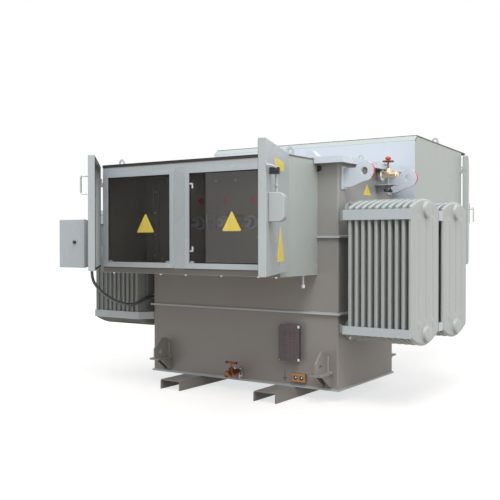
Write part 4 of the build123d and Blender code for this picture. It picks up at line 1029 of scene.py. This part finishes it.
def radiator_bank(side, row, front_y):
    """Ten panels on two header pipes, which replace the bank's solid."""
    points, faces = panel_mesh()
    parts = []
    for n in range(PANELS):
        moved = points + np.array((PANEL_OUT - n * PITCH, front_y, 0.0))
        parts.append((moved, faces))
    middle = front_y + PANEL_WIDE / 2
    for z in (HEADER_TOP, HEADER_LOW):
        pipe = [(42.0, 0.0), (42.0, PANEL_OUT - TANK_HALF)]
        flange = [(0, 0), (72, 0), (72, 13), (70, 14), (46, 14), (44, 20), (42, 22)]
        dome = [(BOSS_R + 4, 0), (BOSS_R + 2, 2)]
        for n in range(10):
            angle = n * pi / 18
            dome.append((BOSS_R - 14 + 14 * cos(angle), 10 + (BOSS_OUT - 11) * sin(angle)))
        dome.append((0, BOSS_OUT))
        parts.append(turned(pipe, (TANK_HALF, middle, z), RIGHT, 32))
        parts.append(turned(flange, (TANK_HALF, middle, z), RIGHT, 40))
        parts.append(turned(dome, (PANEL_OUT + PANEL_HALF_THICK, middle, z), RIGHT, 40))
    name = f"radiator_{side}_{row}"
    piece = fit_beside(name + "_pressed", parts, radiator_paint, side)
    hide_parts(name)
    flange_bolts = []
    for z in (HEADER_TOP, HEADER_LOW):
        flange_bolts += bolt_circle((TANK_HALF + 14, middle, z), RIGHT, 60, 6, 0.0, 10)
    fit_beside(name + "_flange_bolts", flange_bolts, steel, side)


BANK_FRONT = (TANK_DEPTH - 2 * PANEL_WIDE - BANK_GAP) / 2
for side in ("left", "right"):
    radiator_bank(side, "front", BANK_FRONT)
    radiator_bank(side, "back", BANK_FRONT + PANEL_WIDE + BANK_GAP)

# Front cabinet

def shade_cabinet_back():
    """A dark sheet of painted shade over the part of the tank's wall that the front cabinet encloses.
    """
    back_shade = slab(-780, 568, -0.6, -0.1, 890, 1494)
    fit("lv_back_painted_shade", [back_shade], shaded_inside_paint)


def seal_panes():
    """The black seal round each pane, inside its frame."""
    parts = []
    for x0, x1 in WINDOWS:
        parts.append(band(x0, x1, WINDOW_LOW, WINDOW_HIGH, 7.0, PANE_FRONT - 3.5, PANE_FRONT))
    fit("lv_pane_seals", parts, rubber)


def bolt_row(places, axis, size):
    """Bolts at several places, all along one axis."""
    return [bolt(place, axis, size) for place in places]


def bolt_cabinet():
    """Bolts of the inner cover plate and wall, and brass ones under the cabinet's front edge."""
    plate = ((-689, 1478), (-753, 1420), (-754, 1262), (-754, 1100), (-760, 941), (-686, 915))
    wall = ((-193, 1480), (-24, 1480), (165, 1078))
    places = [(x, -8, z) for x, z in plate] + [(x, -0.6, z) for x, z in wall]
    fit("lv_inner_bolts", bolt_row(places, FRONT, 8), steel)
    under = [(x, -450, LV_LOW) for x in (-760, -332, -116, 173, 457, 589)]
    fit("lv_floor_bolts", bolt_row(under, (0, 0, -1), 9), brass)
    clips = []
    for z, drop in ((1428, -30), (985, 30)):
        low, high = sorted((z, z + drop))
        clips.append(slab(-70, -44, PANE_FRONT - 6, PANE_FRONT, z - 4, z + 4))
        clips.append(slab(-52, -44, PANE_FRONT - 6, PANE_FRONT, low, high))
    fit("lv_pane_clips", clips, paper)
    cleats = []
    low = WINDOW_LOW + 2
    for x0, x1 in WINDOWS:
        for x in (x0 + 22, x1 - 22):
            cleats.append(slab(x - 16, x + 16, PANE_FRONT - 4, PANE_FRONT, low, low + 10))
            cleats.append(screw((x, PANE_FRONT - 4, low + 5), FRONT, 4))
    fit("lv_pane_cleats", cleats, steel)


def dress_bushings():
    """Red diamonds over the bushings, their clamp rings, and four nuts on each ring."""
    marks, rings, nuts = [], [], []
    high = BUSHING_HIGH
    for x in BUSHINGS:
        shape = [(x - 26, -0.6, 1338), (x, -0.6, 1308), (x + 26, -0.6, 1338), (x, -0.6, 1368)]
        marks.append(sign(rounded(shape), FRONT, 0.8))
        collar = [(37, 0), (44, 0), (46, 3), (46, 12), (43, 15), (37, 15)]
        rings.append(turned(collar, (x, -16, high), FRONT, 28))
        nuts += bolt_circle((x, -15.9, high), FRONT, 42, 4, pi / 4, 5)
    fit("lv_phase_marks", marks, red_paint)
    fit("lv_bushing_rings", rings, white_paint)
    fit("lv_bushing_nuts", nuts, steel)


def triangle_sign(middle, low, high, half, y):
    """A blank triangular sign in a plane of constant Y, with rounded corners."""
    corners = rounded([(middle - half, y, low), (middle + half, y, low), (middle, y, high)], 0.08)
    return sign(corners, FRONT, 1.2)


def put_up_signs():
    """Blank yellow triangles on both panes and on the tank's right wall."""
    signs = [
        triangle_sign(-457, 1110, 1243, 79, PANE_FRONT),
        triangle_sign(264, 1115, 1245, 76, PANE_FRONT),
    ]
    fit("lv_pane_signs", signs, yellow)
    side = rounded([(TANK_HALF, 366, 1366), (TANK_HALF, 496, 1366), (TANK_HALF, 430, 1445)], 0.08)
    fit("tank_side_sign", [sign(side, RIGHT, 1.2)], yellow)


def strip(path, up, thick):
    """A thin strip whose lower edge follows a path, standing up by up, thick along X or Y."""
    path = np.asarray(path, float)
    across = np.array((thick, 0.0, 0.0) if np.ptp(path[:, 0]) == 0 else (0.0, thick, 0.0))
    rise = np.array((0.0, 0.0, up))
    rows = np.stack([path, path + across, path + across + rise, path + rise], axis=1)
    return rows.reshape(-1, 3), tube_faces(len(path), 4)


def trim_roofs():
    """Dark folded edges along the sides and ridge of the rear roof, and the front roof's sides."""
    parts = []
    for side in (-1, 1):
        x = side * HV_HALF
        parts.append(strip([(x, y, z) for y, z in HV_ROOF_EDGE], 8.5, side * 2.5))
        x = (LV_LEFT if side < 0 else LV_RIGHT) - side * 0.5
        ends = [(x, LV_FRONT - 2, LV_ROOF_EDGE_LOW), (x, -COVER_OUT - 2, LV_ROOF_EDGE_LOW)]
        parts.append(strip(ends, 10, side * 2))
    fit("roof_side_edges", parts, drip_edge)
    ridge = strip([(-HV_HALF, *HV_RIDGE), (HV_HALF, *HV_RIDGE)], 3, 4)
    fit("hv_roof_ridge", [ridge], drip_edge)


def fold_cover():
    """The sheet folded down over the cover's edge and the rim, pale as painted light, and a drip tip
    beside the cabinet.
    """
    out, front, back = TANK_HALF + COVER_OUT, -COVER_OUT, TANK_DEPTH + COVER_OUT
    low, high, sheet = COVER_EDGE_LOW, COVER_HIGH, 5
    edges = [
        slab(LV_RIGHT + 5, out + sheet, front - sheet, front, low, high),
        slab(out, out + sheet, front, back, low, high),
        slab(-out - sheet, -out, 1, back, low, high),
        slab(-out - sheet, out + sheet, back, back + sheet, low, high),
    ]
    fit("cover_folded_edge", edges, lit_pale_paint)
    # The drip tip takes the near black finish as painted shade
    x, y = LV_RIGHT, -8
    outline = [(x, y, 1548), (x + 30, y, 1540), (x + 30, y, 1516), (x, y, 1506)]
    fit("lv_drip_tip", [sign(outline, (0, 1, 0), 7)], roof_seal_and_shade)


def shade_front_plate_foot():
    """A dark strip of painted shade along the foot of the front plate, under the windows."""
    foot_shade = slab(LV_LEFT + 3, LV_RIGHT - 3, LV_FRONT - 0.8, LV_FRONT, LV_LOW + 2, 869)
    fit("lv_front_painted_shade", [foot_shade], front_shade_paint)


trim_roofs()
fold_cover()
shade_front_plate_foot()
shade_cabinet_back()
seal_panes()
bolt_cabinet()
dress_bushings()
put_up_signs()


# Doors

def seal_door(door, end, low, high):
    """The rubber seal round a door's inner lip."""
    seal = band(DOOR_EDGE + 6, end - 6, low + 6, high - 6, 12, DOOR_BACK, DOOR_BACK + 2.5)
    fit_on_door(door + "_seal", [seal], rubber, door)


for door_name in ("lv_door_left", "lv_door_right"):
    seal_door(door_name, LV_DOOR_END, LV_DOOR_LOW, LV_DOOR_HIGH)
for door_name in ("hv_door_left", "hv_door_right"):
    seal_door(door_name, HV_DOOR_END, HV_DOOR_LOW, HV_DOOR_HIGH)


def screw_hinge_leaves():
    """Pan head screws on the cabinets' hinge leaves."""
    cabinets = (
        (LV_LEFT, LV_RIGHT, LV_DOOR_LOW, LV_DOOR_HIGH, (-456, -456, -440)),
        (-HV_HALF, HV_HALF, HV_DOOR_LOW, HV_DOOR_HIGH, (HV_BACK - 8, HV_BACK - 8, HV_BACK - 26)),
    )
    parts = []
    for left, right, low, high, places in cabinets:
        for x, way in ((left, -1), (right, 1)):
            for z in (low + 120, high - 120):
                for y, drop in zip(places, (8, 22, 15)):
                    parts.append(screw((x + 3 * way, y, z - drop), (way, 0, 0), 4))
    fit("hinge_screws", parts, steel)


def dress_right_door():
    """A blank wide label, a blank triangle, a black slab of painted shade in the padlock box's slot,
    and the hasp rod over it.
    """
    label = ((190, 1452), (480, 1452), (480, 1512), (190, 1512))
    triangle = ((180, 934), (420, 934), (300, 1137))
    signs = []
    for outline, share in ((label, 0.12), (triangle, 0.06)):
        corners = rounded([(x, DOOR_FACE, z) for x, z in outline], share)
        signs.append(sign(corners, FRONT, 0.8))
    fit_on_door("lv_door_right_signs", signs, yellow, "lv_door_right")
    # A black slab as painted shade in the padlock box's slot
    slot = slab(591.2, 592.3, -120, -112, 1196, 1288)
    fit_on_door("lv_lock_slot_shade", [slot], rubber, "lv_door_right")
    hasp = swept(
        [(640, -84, 1436), (680, -80, 1440), (715, -72, 1443), (738, -62, 1445), (752, -50, 1446)],
        circle_section(6, 10),
    )
    fit_on_door("lv_lock_hasp", [hasp], white_paint, "lv_door_right")


screw_hinge_leaves()
dress_right_door()


# Tank

def weld_tank():
    """Beads at the floor plate, the stiffeners, the jacking ribs and the lugs' pads."""
    seams = []
    x, back = TANK_HALF, TANK_DEPTH
    for z in (TANK_LOW + 1, STIFFENER_LOW):
        seams.append(((-x + 12, -1, z), (x - 12, -1, z)))
        seams.append(((x + 1, 12, z), (x + 1, back - 12, z)))
        seams.append(((-x - 1, 12, z), (-x - 1, back - 12, z)))
        seams.append(((-x + 12, back + 1, z), (x - 12, back + 1, z)))
    for x in (-TANK_HALF - 1, TANK_HALF + 1):
        seams.append(((x, 12, STIFFENER_HIGH), (x, back - 12, STIFFENER_HIGH)))
        for y in (LUG_IN, back - LUG_IN):
            for edge in (-35, 35):
                seams.append(((x, y + edge, 1391), (x, y + edge, 1539)))
    low = JACK_PLATE_TOP
    for rib in JACK_RIBS:
        for edge in (-8, 8):
            for y in (-1, back + 1):
                seams.append(((rib + edge, y, low + 1), (rib + edge, y, low + 105)))
        for y in (-1, back + 1):
            seams.append(((rib - 40, y, low), (rib + 40, y, low)))
    fit("tank_welds", [weld(start, end, 4) for start, end in seams], weld_paint)


def rule_plate():
    """Engraved rules of a blank rating plate, its two light clips and corner screws."""
    face = -PLATE_OUT
    rules = [slab(366, 511, face - 0.5, face, z, z + 1.4) for z in range(262, 470, 19)]
    rules += [slab(x, x + 1.4, face - 0.5, face, 262, 453) for x in (402, 447, 480)]
    fit("rating_plate_rules", rules, rule_ink)
    clips = [slab(507, 522, face - 2.5, face + 0.5, z, z + 17) for z in (252, 472)]
    fit("rating_plate_clips", clips, steel)
    corners = [(365, 253), (512, 487), (365, 487)]
    fit("rating_plate_screws", [screw((x, face, z), FRONT, 3.5) for x, z in corners], steel)


def shade_pad_holes():
    """Black discs of painted shade in the earthing pad's bolt holes, bright bolt ends, and the earth
    mark beside it.
    """
    hole_shades, ends = [], []
    disc = [(0, 0), (14, 0), (14, 1), (0, 1)]
    for side in (-1, 1):
        x = PAD_MIDDLE + side * PAD_HOLE_PITCH / 2
        hole_shades.append(turned(disc, (x, -PAD_OUT, PAD_HIGH), FRONT, 28))
        ends.append(screw((x + 3, -PAD_OUT - 1, PAD_HIGH + 2), FRONT, 6.5))
    fit("ground_pad_hole_shades", hole_shades, rubber)
    fit("ground_pad_bolt_ends", ends, polished)
    strokes = [slab(377, 381, -0.8, 0, 128, 178)]
    for half, z in ((19, 124), (12, 115), (6, 106)):
        strokes.append(slab(379 - half, 379 + half, -0.8, 0, z, z + 4))
    fit("earth_mark", strokes, black)


def dress_drain_valve():
    """Flange bolts, outlet cap, gland nut, side tap and its ring on the drain valve."""
    z, stem = DRAIN_HIGH, DRAIN_STEM
    fit("drain_flange_bolts", bolt_circle((0, -14, z), FRONT, 33, 4, pi / 4, 7), steel)
    nose = [(17, 0), (22, 1), (23, 4), (23, 20), (21, 24), (10, 26), (0, 26)]
    gland = [(16, 0), (19, 2), (19, 11), (15, 14), (9, 15)]
    parts = [
        turned(nose, (0, -130, z), FRONT, 28),
        prism(6, 27, (0, -94, z), FRONT, 18),
        prism(6, 27, (0, -30, z), FRONT, 18),
        turned(gland, (0, stem, z + 25), UP, 24),
        turned([(13, 0), (13, 22), (9, 26), (9, 40), (0, 41)], (22, -66, z), RIGHT, 20),
    ]
    fit("drain_valve_details", parts, bronze)
    angle = np.linspace(0, 2 * pi, 33)
    ring_y, ring_z = -66 + 20 * np.sin(angle), z - 12 + 20 * np.cos(angle)
    loop = np.stack([np.full_like(angle, 60), ring_y, ring_z], axis=-1)
    fit("drain_tap_ring", [swept(loop, circle_section(2.2, 8))], polished)
    ends = [prism(6, 11, (x, stem, z + 75), (way, 0, 0), 8) for x, way in ((-38, -1), (38, 1))]
    fit("drain_bar_ends", ends, bronze, "drain_valve_handle")


def dress_fill_valve():
    """The polished collar at the wall, bonnet nut, gland, end plug, and the clamps under the shelf."""
    wall, y, z, stem = TANK_HALF, FILL_MIDDLE, FILL_HIGH, FILL_STEM
    collar = [(24, 0), (40, 0), (41, 2), (41, 26), (38, 29), (30, 30), (24, 30)]
    fit("fill_valve_collar", [turned(collar, (wall + 12, y, z), RIGHT, 40)], polished)
    parts = [
        prism(6, 26, (stem, y, z + 14), UP, 16),
        turned([(16, 0), (19, 2), (19, 9), (14, 12), (7.5, 12)], (stem, y, z + 36), UP, 24),
        turned([(16, 0), (16, 9), (12, 12), (0, 12)], (wall + 146, y, z), RIGHT, 24),
    ]
    fit("fill_valve_details", parts, brass)
    knob = [(0, 0), (15, 0), (17, 3), (17, 17), (14, 20), (0, 20)]
    rod = [(5, 0), (5, 46)]
    clamps = [turned(knob, (stem, y + step, 1396), UP, 20) for step in (-30, 36)]
    clamps += [turned(rod, (stem, y + step, 1396), UP, 12) for step in (-30, 36)]
    fit("fill_shelf_clamps", clamps, dark_steel)
    cap = [(12.5, 0), (19, 1), (21, 4), (21, 13), (17, 19), (9, 22), (0, 23)]
    fit("fill_wheel_cap", [turned(cap, (stem, y, 1624), UP, 32)], knob_paint, "fill_valve_wheel")


weld_tank()
rule_plate()
shade_pad_holes()
dress_drain_valve()
dress_fill_valve()


# Control box

def seal_box():
    """The dark seal between the box's neck and its lid, and a nut ring on its gland."""
    seal = band(BOX_LEFT + 3, BOX_RIGHT - 3, BOX_LOW + 3, BOX_HIGH - 3, 10, -447.8, -441.5)
    fit("control_box_seal", [seal], rubber)
    nut = [(12, 0), (21, 0), (21, 8), (17, 12), (12, 12)]
    fit("control_box_gland_ring", [turned(nut, (-1080, -352, 838), UP, 28)], steel)


seal_box()
